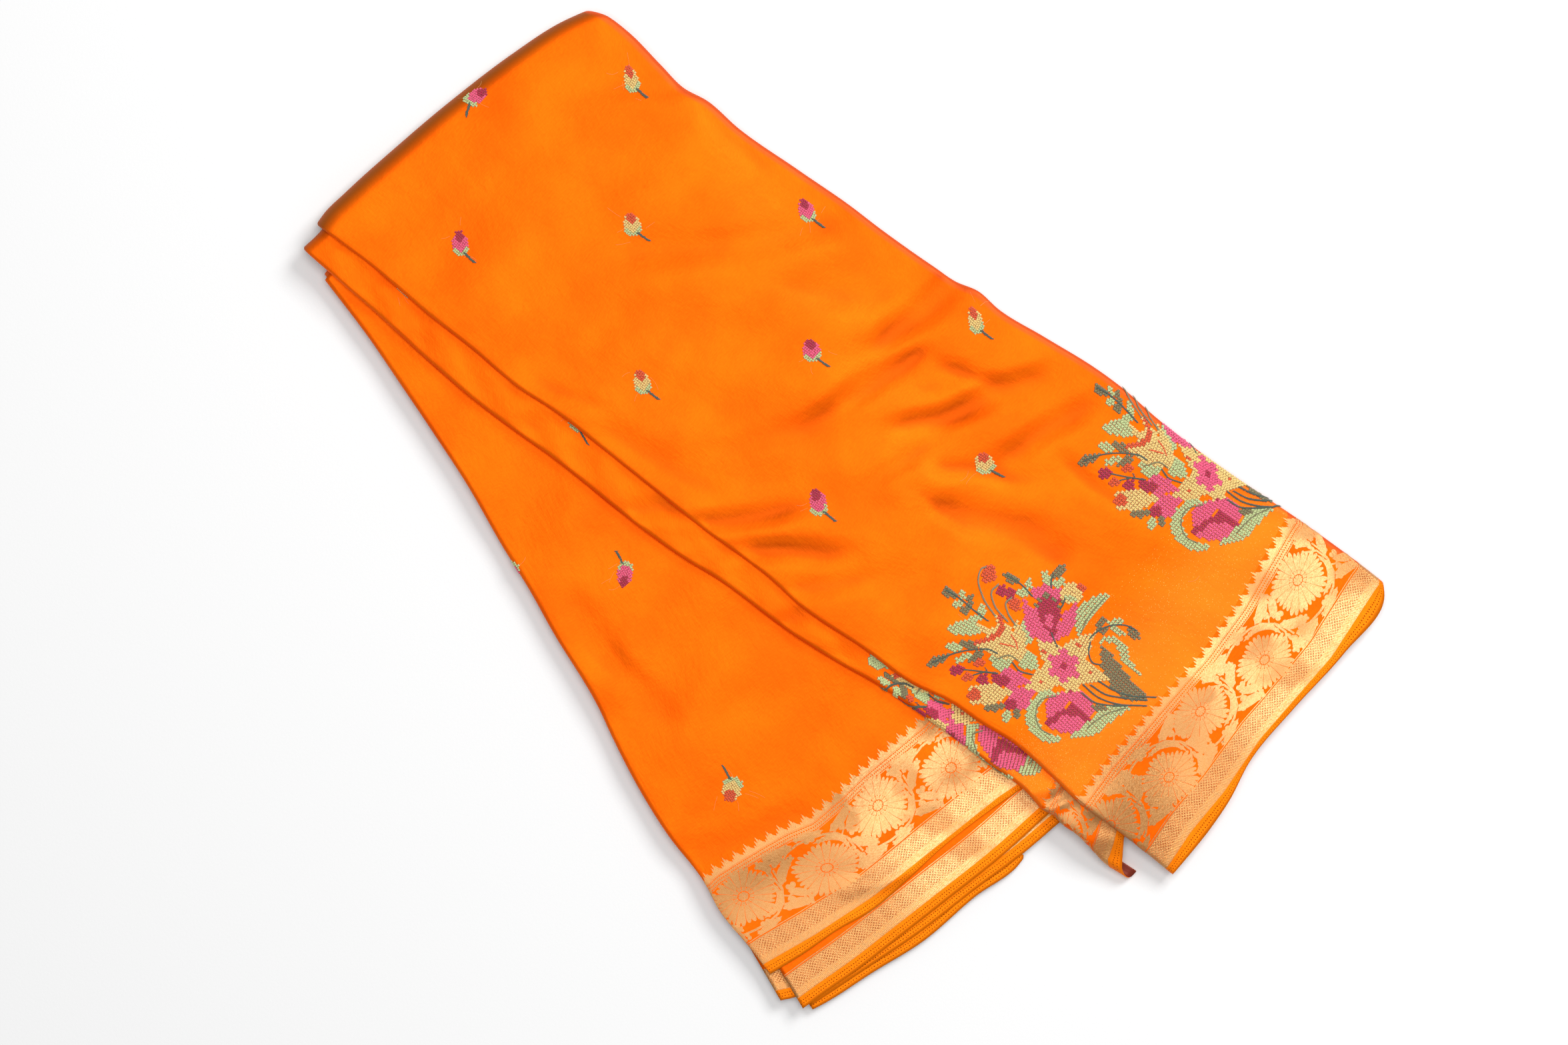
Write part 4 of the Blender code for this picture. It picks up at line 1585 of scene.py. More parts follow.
@dataclass
class Swarm:
    """Many copies of small templates whose faces have as many sides, joined into one mesh."""

    copies: list[tuple[Array, ...]] = field(default_factory=list)
    count: int = 0

    def add(self, template: Template, corners: Array, spread: Array, kinds: Array,
            tints: Array) -> None:
        """Add copies of one template.

        Args:
            template: The template, for its faces.
            corners: Where each copy's corners lie, in millimetres.
            spread: The flat place of each corner, in millimetres.
            kinds: The number of each copy's material.
            tints: Each copy's own tint, from 0 to 1.
        """
        starts = self.count + corners.shape[1] * np.arange(len(corners))
        faces = template.faces[None] + starts[:, None, None]
        kinds, tints = (np.repeat(values, len(template.faces)) for values in (kinds, tints))
        self.copies.append((corners.reshape(-1, 3), spread.reshape(-1, 2),
                            faces.reshape(-1, faces.shape[2]), kinds, tints))
        self.count += corners.shape[0] * corners.shape[1]

    def mesh(self, name: str) -> Mesh:
        """Join the copies into one mesh, in metres.

        Args:
            name: The mesh's name.

        Returns:
            The mesh, with its UV map "flat" and its tints.
        """
        corners, spread, faces, kinds, tints = map(np.concatenate, zip(*self.copies))
        loops = faces.ravel().astype(np.int32)
        mesh = bpy.data.meshes.new(name)
        mesh.vertices.add(len(corners))
        mesh.vertices.foreach_set("co", (corners * MM).ravel())
        mesh.loops.add(len(loops))
        mesh.loops.foreach_set("vertex_index", loops)
        mesh.polygons.add(len(faces))
        starts = faces.shape[1] * np.arange(len(faces), dtype=np.int32)
        mesh.polygons.foreach_set("loop_start", starts)
        mesh.polygons.foreach_set("material_index", kinds.astype(np.int32))
        mesh.uv_layers.new(name="flat").data.foreach_set("uv", (spread[loops] * MM).ravel())
        mesh.update(calc_edges=True)
        mesh.validate()
        add_attribute(mesh, "tint", "FACE", tints)
        mesh.shade_smooth()
        return mesh


class Profile(Enum):
    """How wide a shape is along its own length."""

    EVEN = "even"
    LEAF = "leaf"
    DROP = "drop"
    POINTED = "pointed"
    PETAL = "petal"
    ROUND = "round"
    TAPER = "taper"

    def width(self, share: Array) -> Array:
        """Return how wide the shape is along its length.

        Args:
            share: Shares of the length, from 0 to 1.

        Returns:
            Shares of the full width.
        """
        match self:
            case Profile.EVEN:
                return np.ones_like(share)
            case Profile.LEAF:
                return np.maximum(np.sin(np.pi * share), 0.0) ** 0.7
            case Profile.DROP:
                return np.sqrt(np.maximum(1.0 - (0.62 - share) ** 2 / 0.4, 0.0))
            case Profile.POINTED:
                return np.minimum(1.0, (1.0 - share) * 2.6 + 0.06)
            case Profile.PETAL:
                return np.minimum(np.minimum(1.0, 0.35 + share * 2.0), (1.0 - share) * 2.3)
            case Profile.ROUND:
                return np.sqrt(np.maximum(1.0 - (2.0 * share - 1.0) ** 2, 0.0))
            case Profile.TAPER:
                return np.minimum(1.0, (1.0 - share) * 1.6)


def straight(start: Pair, end: Pair) -> Line:
    """Return a straight path through its middle."""
    return start, ((start[0] + end[0]) / 2, (start[1] + end[1]) / 2), end


@dataclass(frozen=True)
class Ribbon:
    """A shape woven in gold: a path, its full width and how the width runs."""

    path: Line
    width: float
    profile: Profile = Profile.EVEN
    lobes: int = 0

    def lobe_ribbons(self) -> list[Ribbon]:
        """Return the small lobes on both sides of the leaf, if it has any.

        Returns:
            The lobes.
        """
        edge = Edge(self.path)
        share = np.linspace(0.12, 0.86, max(self.lobes, 2))
        ahead = edge.at(share + 0.02) - edge.at(share - 0.02)
        heading = np.arctan2(ahead[:, 1], ahead[:, 0])
        tall = self.width * 0.78 * np.sin(np.pi * (0.18 + 0.64 * share)) ** 0.5
        found = []
        for (x, y), turn, reach in zip(edge.at(share), heading, tall):
            for side in (-1, 1):
                near, far = turn + side * 0.85, turn + side * 0.6
                path = ((x, y), (x + reach * 0.5 * math.cos(near), y + reach * 0.5 * math.sin(near)),
                        (x + reach * math.cos(far), y + reach * math.sin(far)))
                found.append(Ribbon(path, self.width * 0.44, Profile.LEAF))
        return found[:self.lobes * 2]

    def points(self, template: Template) -> Array:
        """Return the flat place of each of the template's corners.

        Args:
            template: The net that the shape is made of.

        Returns:
            One flat point for each corner.
        """
        share, side = template.corners[:, 0], template.corners[:, 1]
        edge = Edge(self.path)
        middle = edge.at(share)
        heading = edge.at(share + 0.01) - edge.at(share - 0.01)
        heading /= np.linalg.norm(heading, axis=1, keepdims=True)
        half = self.width / 2 * self.profile.width(share) * side
        return middle + np.stack((-heading[:, 1], heading[:, 0]), axis=1) * half[:, None]


def woven_leaves(*rows: tuple) -> tuple[Ribbon, ...]:
    """Return leaves by rows of how many lobes each has, its width and its path's points."""
    return tuple(Ribbon(path, width, Profile.LEAF, lobes) for lobes, width, *path in rows)


@dataclass(frozen=True)
class Ring:
    """A ring of petals woven in gold: their count, radii, fullness and the notch at each tip."""

    petals: int
    start: float
    end: float
    fullness: float
    notch: float
    unevenness: float = 0.0

    def shapes(self, template: Template) -> list[Array]:
        """Return each petal's flat points round the flower's middle.

        Args:
            template: The net that each petal is made of.

        Returns:
            One array of points for each petal.
        """
        share, side = template.corners[:, 0], template.corners[:, 1]
        found = []
        for angle in np.arange(self.petals) * math.tau / self.petals:
            longer = 0.8 * math.cos(angle + 1.9) + 0.9 * math.cos(angle * 5)
            tip = self.end + self.unevenness * longer
            tip = tip - self.notch * (1.0 - np.abs(np.sin(np.pi * side)) ** 0.7)
            radius = self.start + share * (tip - self.start)
            turn = angle + side * self.fullness * math.tau / self.petals
            found.append(np.stack((radius * np.cos(turn), radius * np.sin(turn)), axis=1))
        return found


@dataclass
class GoldBorder:
    """The gold woven over one stretch: lines, scrolling vine, rope and a row of points."""

    surface: Surface
    high_flowers: tuple[float, ...] = ()
    low_flowers: tuple[float, ...] = ()
    reach: Pair = (0.0, 180.0)
    lift: float = 0.16
    thickness: float = 0.14
    high_level: float = 35.5
    middle_level: float = 30.9
    rings: tuple[Ring, ...] = (Ring(17, 4.2, 12.9, 0.474, 1.9, 1.0), Ring(12, 2.4, 4.3, 0.44, 0.5),
                               Ring(6, 0.1, 2.1, 0.46, 0.3))
    fullness: float = 1.25
    bloom: float = 1.12
    flower_wide: float = 1.12
    flower_tall: float = 0.93
    rope_pitch: float = 1.25
    rope_width: float = 0.84
    rope_bars: tuple[Line, ...] = (((0.0, 47.95), (0.62, 48.6), (1.25, 49.3)),
                                   ((1.25, 49.6), (0.62, 50.3), (0.0, 50.95)))
    tooth_pitch: float = 6.6
    tooth_step: float = 1.28
    tooth_start: float = 0.7
    tooth_base: float = 51.95
    tooth_width: float = 1.5
    tooth_bars: tuple[float, ...] = (3.0, 4.9, 6.6, 4.6, 2.6)
    line_levels: Line = ((-0.1, 0.35), (12.7, 0.42), (13.7, 0.42), (47.3, 0.38), (51.6, 0.42))
    stems: tuple[Ribbon, ...] = (
        Ribbon(((-19.0, -13.0), (-13.0, -16.8), (-4.0, -18.3), (6.0, -17.6), (14.0, -13.4),
                (18.2, -6.4), (17.6, 0.6), (13.0, 4.4)), 0.95),
        Ribbon(((17.9, -8.0), (19.6, -2.0), (20.0, 3.8)), 0.85),
        Ribbon(((16.6, -10.4), (19.0, -12.0), (21.6, -10.6)), 0.7),
        Ribbon(((-13.6, -16.4), (-16.6, -14.2), (-17.2, -10.0)), 0.7),
    )
    leaves: tuple[Ribbon, ...] = woven_leaves(
        (8, 2.4, (16.1, -1.2), (15.4, -8.4), (9.6, -13.9), (1.0, -15.3)),
        (5, 4.4, (11.4, -16.0), (18.6, -17.0), (27.6, -20.4)),
        (5, 2.6, (9.0, -18.9), (1.0, -20.3), (-7.4, -20.6)),
        (6, 4.0, (-8.6, -18.9), (-16.4, -18.9), (-26.4, -20.2)),
        (5, 4.2, (19.6, -5.4), (22.6, -0.6), (28.8, 3.4)),
        (4, 3.8, (19.6, -9.4), (23.8, -12.8), (28.4, -17.0)),
        (4, 3.6, (18.6, 3.2), (17.4, 7.0), (13.4, 10.2)),
        (4, 2.9, (-17.2, -9.6), (-15.4, -12.2), (-11.4, -13.9)),
        (3, 2.8, (20.4, 4.4), (23.4, 6.4), (27.4, 6.6)),
        (0, 1.9, (20.6, -14.6), (19.0, -13.4), (16.4, -13.6)),
        (0, 1.6, (16.2, 4.6), (17.6, 2.2), (17.7, 0.4)),
    )
    buds: tuple[Pair, ...] = ((22.7, -7.2), (20.6, 9.6), (0.2, -16.9))

    def on_unit(self, ribbon: Ribbon, at: float, is_high: bool) -> Ribbon:
        """Return a ribbon of the scroll unit at a flower, mirrored for a low one.

        Args:
            ribbon: The ribbon.
            at: The flower's place across.
            is_high: Whether the flower is a high one.

        Returns:
            The ribbon on the border.
        """
        path = []
        for s, t in ribbon.path:
            level = self.high_level + t
            path.append((at + s, level if is_high else 2 * self.middle_level - level))
        return replace(ribbon, path=tuple(path), width=ribbon.width * self.fullness)

    def heads(self) -> list[tuple[float, bool]]:
        """Return the place across of each flower and whether it is a high one."""
        found = [(at, True) for at in self.high_flowers]
        return found + [(at, False) for at in self.low_flowers]

    def flowers(self, template: Template) -> list[Array]:
        """Return the flat points of every flower's petals.

        Args:
            template: The net that each petal is made of.

        Returns:
            One array of points for each petal.
        """
        found = []
        for at, is_high in self.heads():
            level = self.high_level if is_high else 2 * self.middle_level - self.high_level
            for ring in self.rings:
                found += [shape * (self.flower_wide, self.flower_tall) * self.bloom + (at, level)
                          for shape in ring.shapes(template)]
        return found

    def foliage(self) -> list[Ribbon]:
        """Return every stem, leaf, lobe and bud of the vine.

        Returns:
            The ribbons.
        """
        found = []
        for at, is_high in self.heads():
            unit = [*self.stems, *self.leaves]
            for leaf_ribbon in self.leaves:
                unit += leaf_ribbon.lobe_ribbons()
            for x, y in self.buds:
                for angle in (-1.05, 0.0, 1.05):
                    tip = (x + 3.0 * math.sin(angle), y - 3.0 * math.cos(angle))
                    unit.append(Ribbon(straight((x, y), tip), 2.5, Profile.ROUND))
            found += [self.on_unit(ribbon, at, is_high) for ribbon in unit]
        return found

    def bars(self) -> list[Ribbon]:
        """Return the rope's slanted bars and the row of points above it.

        Returns:
            The ribbons.
        """
        start, end = self.reach
        found = []
        for index in range(int((end - start) / self.rope_pitch)):
            at = start + index * self.rope_pitch
            for bar in self.rope_bars:
                path = tuple((at + aside, level) for aside, level in bar)
                found.append(Ribbon(path, self.rope_width))
        for index in range(int((end - start) / self.tooth_pitch)):
            for bar, tall in enumerate(self.tooth_bars):
                at = start + index * self.tooth_pitch + bar * self.tooth_step + self.tooth_start
                path = ((at, self.tooth_base), (at, self.tooth_base + 0.05 + tall / 2),
                        (at - 0.5, self.tooth_base + tall))
                found.append(Ribbon(path, self.tooth_width, Profile.POINTED))
        return found

    def build(self, name: str, gold: Sequence[Material]) -> None:
        """Build the border's gold: only its long lines where it has no flowers.

        Args:
            name: The piece's name.
            gold: Its material, and that of the gold's thin edges.
        """
        swarm = Swarm()
        long_line = Template.grid(120, 1)
        start, end = self.reach
        for level, width in self.line_levels:
            line = Ribbon(straight((start, level), (end, level)), width)
            self.lay(swarm, long_line, [line.points(long_line)])
        if self.high_flowers:
            petal = Template.grid(3, 8)
            self.lay(swarm, petal, self.flowers(petal))
            leaf_net = Template.grid(8, 2)
            self.lay(swarm, leaf_net, [ribbon.points(leaf_net) for ribbon in self.foliage()])
            bar = Template.grid(2, 1)
            self.lay(swarm, bar, [ribbon.points(bar) for ribbon in self.bars()])
        thing = add_piece(name, swarm.mesh(name), gold)
        give_thickness(thing, self.thickness, 0, 1)
        crisp = thing.modifiers.new("crisp edges", "EDGE_SPLIT")
        crisp.split_angle = math.radians(55.0)

    def lay(self, swarm: Swarm, template: Template, shapes: list[Array]) -> None:
        """Lay flat shapes on the cloth and add them to a swarm.

        Args:
            swarm: The swarm.
            template: The net that the shapes are made of.
            shapes: The flat points of each shape, above the gold's lower line.
        """
        flat = np.array(shapes)
        flat[..., 1] += GOLD_START
        middle = flat[..., 0].mean(axis=1)
        start, end = self.reach
        flat = flat[(middle > start) & (middle < end)]
        flat[..., 0] = np.clip(flat[..., 0], start, end)
        first, second, third = (flat[:, template.faces[:, index]] for index in range(3))
        turn = np.cross(second - first, third - first).sum(axis=1)
        upright = turn > 0
        here, _, _, normal = self.surface.frames(flat[..., 0], flat[..., 1])
        draw = np.random.default_rng(len(flat))
        tints = draw.uniform(0.0, 1.0, len(flat))
        corners = here + normal * (self.lift + 0.04 * tints)[:, None, None]
        turned = Template(template.corners, template.faces[:, ::-1])
        for pick, faces in ((upright, template), (~upright, turned)):
            if pick.any():
                swarm.add(faces, corners[pick], flat[pick], np.zeros(pick.sum(), int),
                          tints[pick])


@dataclass(frozen=True)
class Mark:
    """A patch of cross-stitch: a thread, a path and the width filled along it."""

    thread: Thread
    width: float
    path: Line
    profile: Profile = Profile.EVEN

    def covers(self, right: Array, up: Array) -> Array:
        """Return which places of the chart the patch fills.

        Args:
            right: Places to the right, in the chart's millimetres.
            up: Places up.

        Returns:
            True where it fills them.
        """
        if len(self.path) == 1:
            spots, shares = np.array(self.path), np.ones(1)
        else:
            shares = np.linspace(0.0, 1.0, 26)
            spots = Edge(self.path).at(shares)
            shares = self.profile.width(shares)
        half = np.maximum(self.width / 2 * shares, 0.05)
        found = np.zeros(right.shape, bool)
        for (x, y), reach in zip(spots, half):
            found |= (right - x) ** 2 + (up - y) ** 2 < reach ** 2
        return found


@dataclass(frozen=True)
class Seam:
    """A line of slanted stitches along a path: a stem, a vein or an outline."""

    thread: Thread
    path: Line
    width: float = 1.3


def leaf(thread: Thread, width: float, *path: Pair) -> Mark:
    """Return a leaf-shaped patch of cross-stitch."""
    return Mark(thread, width, path, Profile.LEAF)


def spot(thread: Thread, width: float, *places: Pair) -> list[Mark]:
    """Return round patches of cross-stitch."""
    return [Mark(thread, width, (place,)) for place in places]


def fan(thread: Thread, base: Pair, *tips: Pair) -> list[Mark]:
    """Return a flower seen from its side: petals that spread from its base."""
    return [Mark(thread, 5.6, straight(base, tip), Profile.PETAL) for tip in tips]


@dataclass(frozen=True)
class Chart:
    """An embroidery chart: patches in the order they are filled, then lines over them."""

    marks: tuple[Mark, ...]
    seams: tuple[Seam, ...]
    reach: float = 76.0


def bouquet_chart() -> Chart:
    """Return the chart of the bouquet, round the heart of its big star flower.

    Returns:
        The chart.
    """
    cream, pink, magenta, coral = Thread.CREAM, Thread.PINK, Thread.MAGENTA, Thread.CORAL
    mint, slate, stem, tendril = Thread.MINT, Thread.SLATE, Thread.STEM, Thread.TENDRIL
    drop, petal, taper = Profile.DROP, Profile.PETAL, Profile.TAPER
    marks: list[Mark] = [
        leaf(slate, 11.0, (22, 9), (26, -2), (35, -12), (44, -15.5)),
        leaf(mint, 4.6, (20.5, 10), (24, 13), (30, 11.5), (34.5, 2), (41.5, -4)),
        leaf(mint, 8.5, (10, 14.5), (14, 24), (26, 36.8)),
        leaf(mint, 8.0, (-38, 7), (-34, 5), (-26, 7)), *spot(mint, 4.0, (-33, 2)),
        leaf(mint, 9.0, (-24, 8), (-18, 4), (-14, 2)),
        leaf(mint, 7.5, (-21, 12), (-18, 19), (-19, 24)),
        leaf(mint, 8.0, (-41, 23), (-50, 25), (-59, 24.5)),
    ]
    tips = ((-11.4, 14.0), (16.4, 13.8), (20.5, -6.6), (6.6, -18.2), (-20.4, -11.4))
    for (x, y), width in zip(tips, (12.5, 12.5, 13.5, 10.5, 13.0)):
        marks.append(Mark(cream, width, ((0, 0), (x * 0.5, y * 0.5), (x * 1.22, y * 1.22)),
                          taper))
    marks += spot(cream, 18.0, (0, 0))
    for turn in range(6):
        x, y = 7.2 * math.cos(turn * 1.047 + 0.4), 7.2 * math.sin(turn * 1.047 + 0.4)
        marks.append(Mark(pink, 5.4, ((0, 0), (x / 2, y / 2), (x, y)), drop))
    marks += [
        *spot(magenta, 4.8, (0, 0)),
        *spot(coral, 2.2, (-9.5, 8.4), (9.4, 10), (14.2, -4.4), (-12.7, -7.5)),
        *spot(magenta, 2.2, (3, -13)),
        Mark(pink, 7.6, ((-5, 16), (-13.6, 20), (-15.6, 28), (-17.4, 36)), petal),
        Mark(pink, 7.6, ((-4, 16), (5, 20), (8, 26), (11.4, 32.6)), petal),
        Mark(pink, 8.0, ((-6, 17), (-11, 25), (-11.5, 31)), petal),
        Mark(pink, 6.0, ((-13, 19), (-5, 15.5), (3, 18))),
        Mark(magenta, 12.5, ((-3.8, 33.6), (-3.8, 26.0), (-3.6, 14.0)), taper),
        *spot(pink, 5.8, (-10, 37.4), (-4.5, 39.6), (1.0, 37.2)),
        *spot(pink, 4.4, (-4.2, 24.2), (-4.4, 21.6)),
        *spot(slate, 2.5, (-8.7, 33.8), (-0.4, 33.8), (1.6, 29.8), (-10.2, 30.8), (-4.8, 36.0),
              (3.6, 32.8)),
        Mark(cream, 9.0, ((-24, 9), (-36, 12), (-48, 17)), taper),
        Mark(cream, 8.0, ((-25, 10), (-35, 18), (-45, 28)), taper),
        Mark(cream, 9.0, ((-25, 10), (-30, 19), (-34, 31)), taper),
        Mark(cream, 9.0, ((-25, 9), (-23, 16), (-23, 26)), taper),
        Mark(coral, 2.8, ((-45, 16), (-37, 17.5), (-32, 21), (-31, 28))),
        *fan(pink, (-33, -4.6), (-26.7, 1.0), (-20.5, -1.3), (-16.4, -7.0), (-24.4, -10.9)),
        Mark(magenta, 5.5, ((-35.5, -4), (-33.5, -5), (-31.5, -6))),
        *fan(pink, (-27.3, -18), (-26.6, -11.4), (-20.4, -8.6), (-13.8, -11.2), (-16.8, -20.2)),
        *spot(magenta, 6.0, (-28, -18.5)),
        leaf(slate, 4.2, (-31, -19), (-36, -20), (-41, -20.5)),
        leaf(mint, 4.2, (-30, -21), (-30.4, -24.5), (-30.5, -28)),
        leaf(slate, 3.4, (-25.5, -21.5), (-25, -24.5), (-24.5, -27.5)),
        Mark(cream, 11.0, ((-44.5, -12.9), (-38, -12.4), (-26, -11.6)), taper),
        *spot(coral, 7.0, (-46.5, -12.7)), *spot(magenta, 6.2, (-54.7, 1.6)),
        *spot(coral, 4.8, (-44, 4.8)), *spot(coral, 5.4, (-50, -2.8)),
        *spot(magenta, 6.4, (-42.5, -4.4)),
        Mark(cream, 7.0, ((3.5, 34.5), (8, 39), (10.5, 43)), petal),
        Mark(cream, 7.0, ((3.5, 34.5), (10, 35.5), (15, 38)), petal),
        *spot(coral, 4.0, (13.5, 40)), leaf(mint, 2.8, (5, 35), (8, 34), (11, 33.5)),
        Mark(pink, 9.0, ((3, -16), (-3.5, -18), (-7.5, -24), (-8, -29)), petal),
        Mark(pink, 9.0, ((3, -16), (9.5, -18), (13, -24), (14, -28)), petal),
        Mark(pink, 9.0, ((-4, -29.0), (3, -30.5), (11, -29.0))),
        Mark(magenta, 3.4, ((-8, -29.5), (-3, -25.5), (3.6, -23.4), (9.6, -25), (15, -28.8))),
        *spot(magenta, 7.0, (3.8, -23.2)),
        Mark(mint, 6.4, ((-2, -14.3), (-11, -14), (-16.5, -20), (-17.5, -29), (-12, -36),
                         (-4, -38.5), (2.5, -36)), Profile.LEAF),
        leaf(mint, 8.8, (5, -37), (15.5, -32), (25, -24), (35.5, -20.5)),
        leaf(slate, 3.6, (14.5, -21.5), (19, -21.8), (23.5, -22)),
        *spot(coral, 8.6, (-34, 50)), *spot(magenta, 6.0, (-28, 41), (-24, 39)),
        *spot(coral, 7.2, (-22.5, 33)),
    ]
    sprigs = (
        (slate, 4.5, (-53.5, 41), (-61.5, 45.5)), (mint, 3.4, (-51, 39), (-49.5, 44)),
        (slate, 3.4, (-47, 36), (-45, 41.5)), (mint, 3.6, (-50, 37.5), (-55, 37.5)),
        (slate, 3.6, (-46, 34.5), (-52, 33.5)), (mint, 3.4, (-41, 30), (-39.5, 36.5)),
        (mint, 3.4, (-41, 29.5), (-48, 29)), (slate, 4.6, (-58, 11), (-69, 6.5)),
        (mint, 4.0, (-52, 13), (-59.5, 17)), (slate, 4.0, (-45, 13), (-52.5, 18)),
        (mint, 4.0, (-48, 11), (-55.5, 6)), (slate, 4.0, (-42, 11), (-49.5, 5.5)),
        (slate, 4.6, (-18, 44), (-26, 49)), (mint, 3.4, (-14, 39.5), (-13, 45)),
        (mint, 4.0, (-14.5, 37.5), (-20.5, 39)), (mint, 4.0, (-3, 41), (-6.5, 49.5)),
        (slate, 5.0, (-1.5, 45), (4, 52)), (mint, 4.2, (-1, 40.5), (5, 44)),
        (slate, 4.0, (20, 17.5), (23.5, 24)), (mint, 3.6, (25, 20.5), (33, 23.5)),
        (slate, 4.6, (34.5, 20), (40.5, 14)), (slate, 2.8, (20.5, 16.5), (26, 17.3)),
        (mint, 3.6, (27, 18.5), (33, 15.5)),
    )
    for thread, width, start, end in sprigs:
        marks.append(leaf(thread, width * 1.12, *straight(start, end)))
    seams = [
        Seam(stem, ((-4, 17), (-3, 13), (-2, 10)), 1.1),
        Seam(coral, ((-26, 12), (-30, 13.2), (-33, 14)), 1.0),
        Seam(coral, ((-27, 18), (-25, 15), (-24, 11)), 1.0),
        Seam(slate, ((-36, 6), (-28, 7.5), (-24, 5)), 1.0),
        Seam(slate, ((12, 16), (17, 25), (24, 34)), 1.0),
        Seam(slate, ((-5, -15.5), (-13, -17.5), (-15.5, -26), (-12.5, -33), (-7, -36)), 1.0),
        Seam(slate, ((13, -32), (22, -25), (33, -21)), 1.0),
    ]
    for path in (
            ((-27, 4), (-24, 0), (-17, -3)), ((-51.5, 1.5), (-42, -0.5), (-35, -1.5)),
            ((-47, -2), (-44, -1.2), (-41, -0.5)), ((-41, 1.5), (-40.5, 0.5), (-40, -0.5)),
            ((-38, 27), (-45, 34), (-53, 41), (-59, 44.5)),
            ((-35, 9), (-38, 11), (-46, 12.5), (-57, 11.5), (-66, 8)),
            ((-12.5, 36), (-17, 42), (-25, 49)), ((-2, 40), (-2.2, 43), (-1, 47)),
            ((5, 34), (4, 31), (2.5, 29)),
            ((16, 13), (20, 16.5), (27, 20), (34.5, 20.5), (39, 18.5)),
            ((10, -10), (17, -15.5), (27, -19), (44, -19.3)),
            ((14, -10), (22, -14.5), (31.5, -16), (44, -16.5)),
            ((18.5, -8), (26, -12), (34, -14.5), (48.5, -14.5)),
            ((9, -14), (15.5, -18.5), (23.5, -20), (34, -20)),
            ((16, 11), (14.5, 6.5), (16, 1), (20, 0))):
        seams.append(Seam(stem, path))
    for path in (((-34, 29), (-39, 40), (-40, 49), (-37.5, 53), (-35.5, 53.5)),
                 ((-28, 25), (-33.5, 35), (-33.5, 41.5), (-29.5, 44.2)),
                 ((-24, 22.5), (-27, 29.5), (-27, 34.5), (-23.5, 36.5))):
        seams.append(Seam(tendril, path, 1.5))
    return Chart(tuple(marks), tuple(seams))


def bud_chart(is_pink: bool) -> Chart:
    """Return the chart of a bud, round the middle of its body.

    Args:
        is_pink: Whether the bud is pink, not cream.

    Returns:
        The chart.
    """
    body, tip = (Thread.PINK, Thread.MAGENTA) if is_pink else (Thread.CREAM, Thread.CORAL)
    cup = tuple((4.5 * math.cos(math.radians(turn)), 4.5 * math.sin(math.radians(turn)) - 1.0)
                for turn in (-150, -115, -75, -35, -10))
    marks = (Mark(body, 9.6, ((0.2, -1.2), (-0.1, 0.4), (-0.4, 2.0))),
             Mark(tip, 5.4, ((-0.6, 4.0), (-0.7, 4.6), (-0.8, 5.2))), Mark(Thread.MINT, 2.4, cup))
    return Chart(marks, (Seam(Thread.STEM, ((3.1, -4.7), (5.6, -7.0), (9.2, -9.9)), 1.9),), 12.0)


@dataclass(frozen=True)
class Needlework:
    """How stitches are laid: their pitch, size and unevenness, in millimetres."""

    pitch: float = 1.6
    length: float = 2.3
    thickness: float = 0.86
    height: float = 0.5
    lift: float = 0.12
    layer: float = 0.16
    # A dark layer of painted shade under the stitches, for the gaps between them.
    under_size: float = 1.3
    under_height: float = 0.16
    under_lift: float = 0.06
    seam_step: float = 0.6
    seam_lean: float = 0.61
    seam_thickness: float = 0.62
    hair_step: float = 0.7
    hair_length: float = 1.0
    hair_thickness: float = 0.13
    hair_lift: float = 0.14
    jitter: float = 0.09


@dataclass(frozen=True)
class Placing:
    """Where a chart lies on a stretch: its middle, turn and size."""

    middle: Pair
    right: Pair
    up: Pair
    size: float = 1.0

    def to_flat(self, right: Array, up: Array) -> tuple[Array, Array]:
        """Return the flat places of the chart's places."""
        return (self.middle[0] + self.size * (right * self.right[0] + up * self.up[0]),
                self.middle[1] + self.size * (right * self.right[1] + up * self.up[1]))

    def to_chart(self, p: Array, q: Array) -> tuple[Array, Array]:
        """Return the chart's places of flat places.

        Args:
            p: Flat places across.
            q: Flat places in from the cut edge.

        Returns:
            The places to the right and up.
        """
        x, y = p - self.middle[0], q - self.middle[1]
        scale = self.size * (self.right[0] * self.up[1] - self.right[1] * self.up[0])
        return ((x * self.up[1] - y * self.up[0]) / scale,
                (y * self.right[0] - x * self.right[1]) / scale)


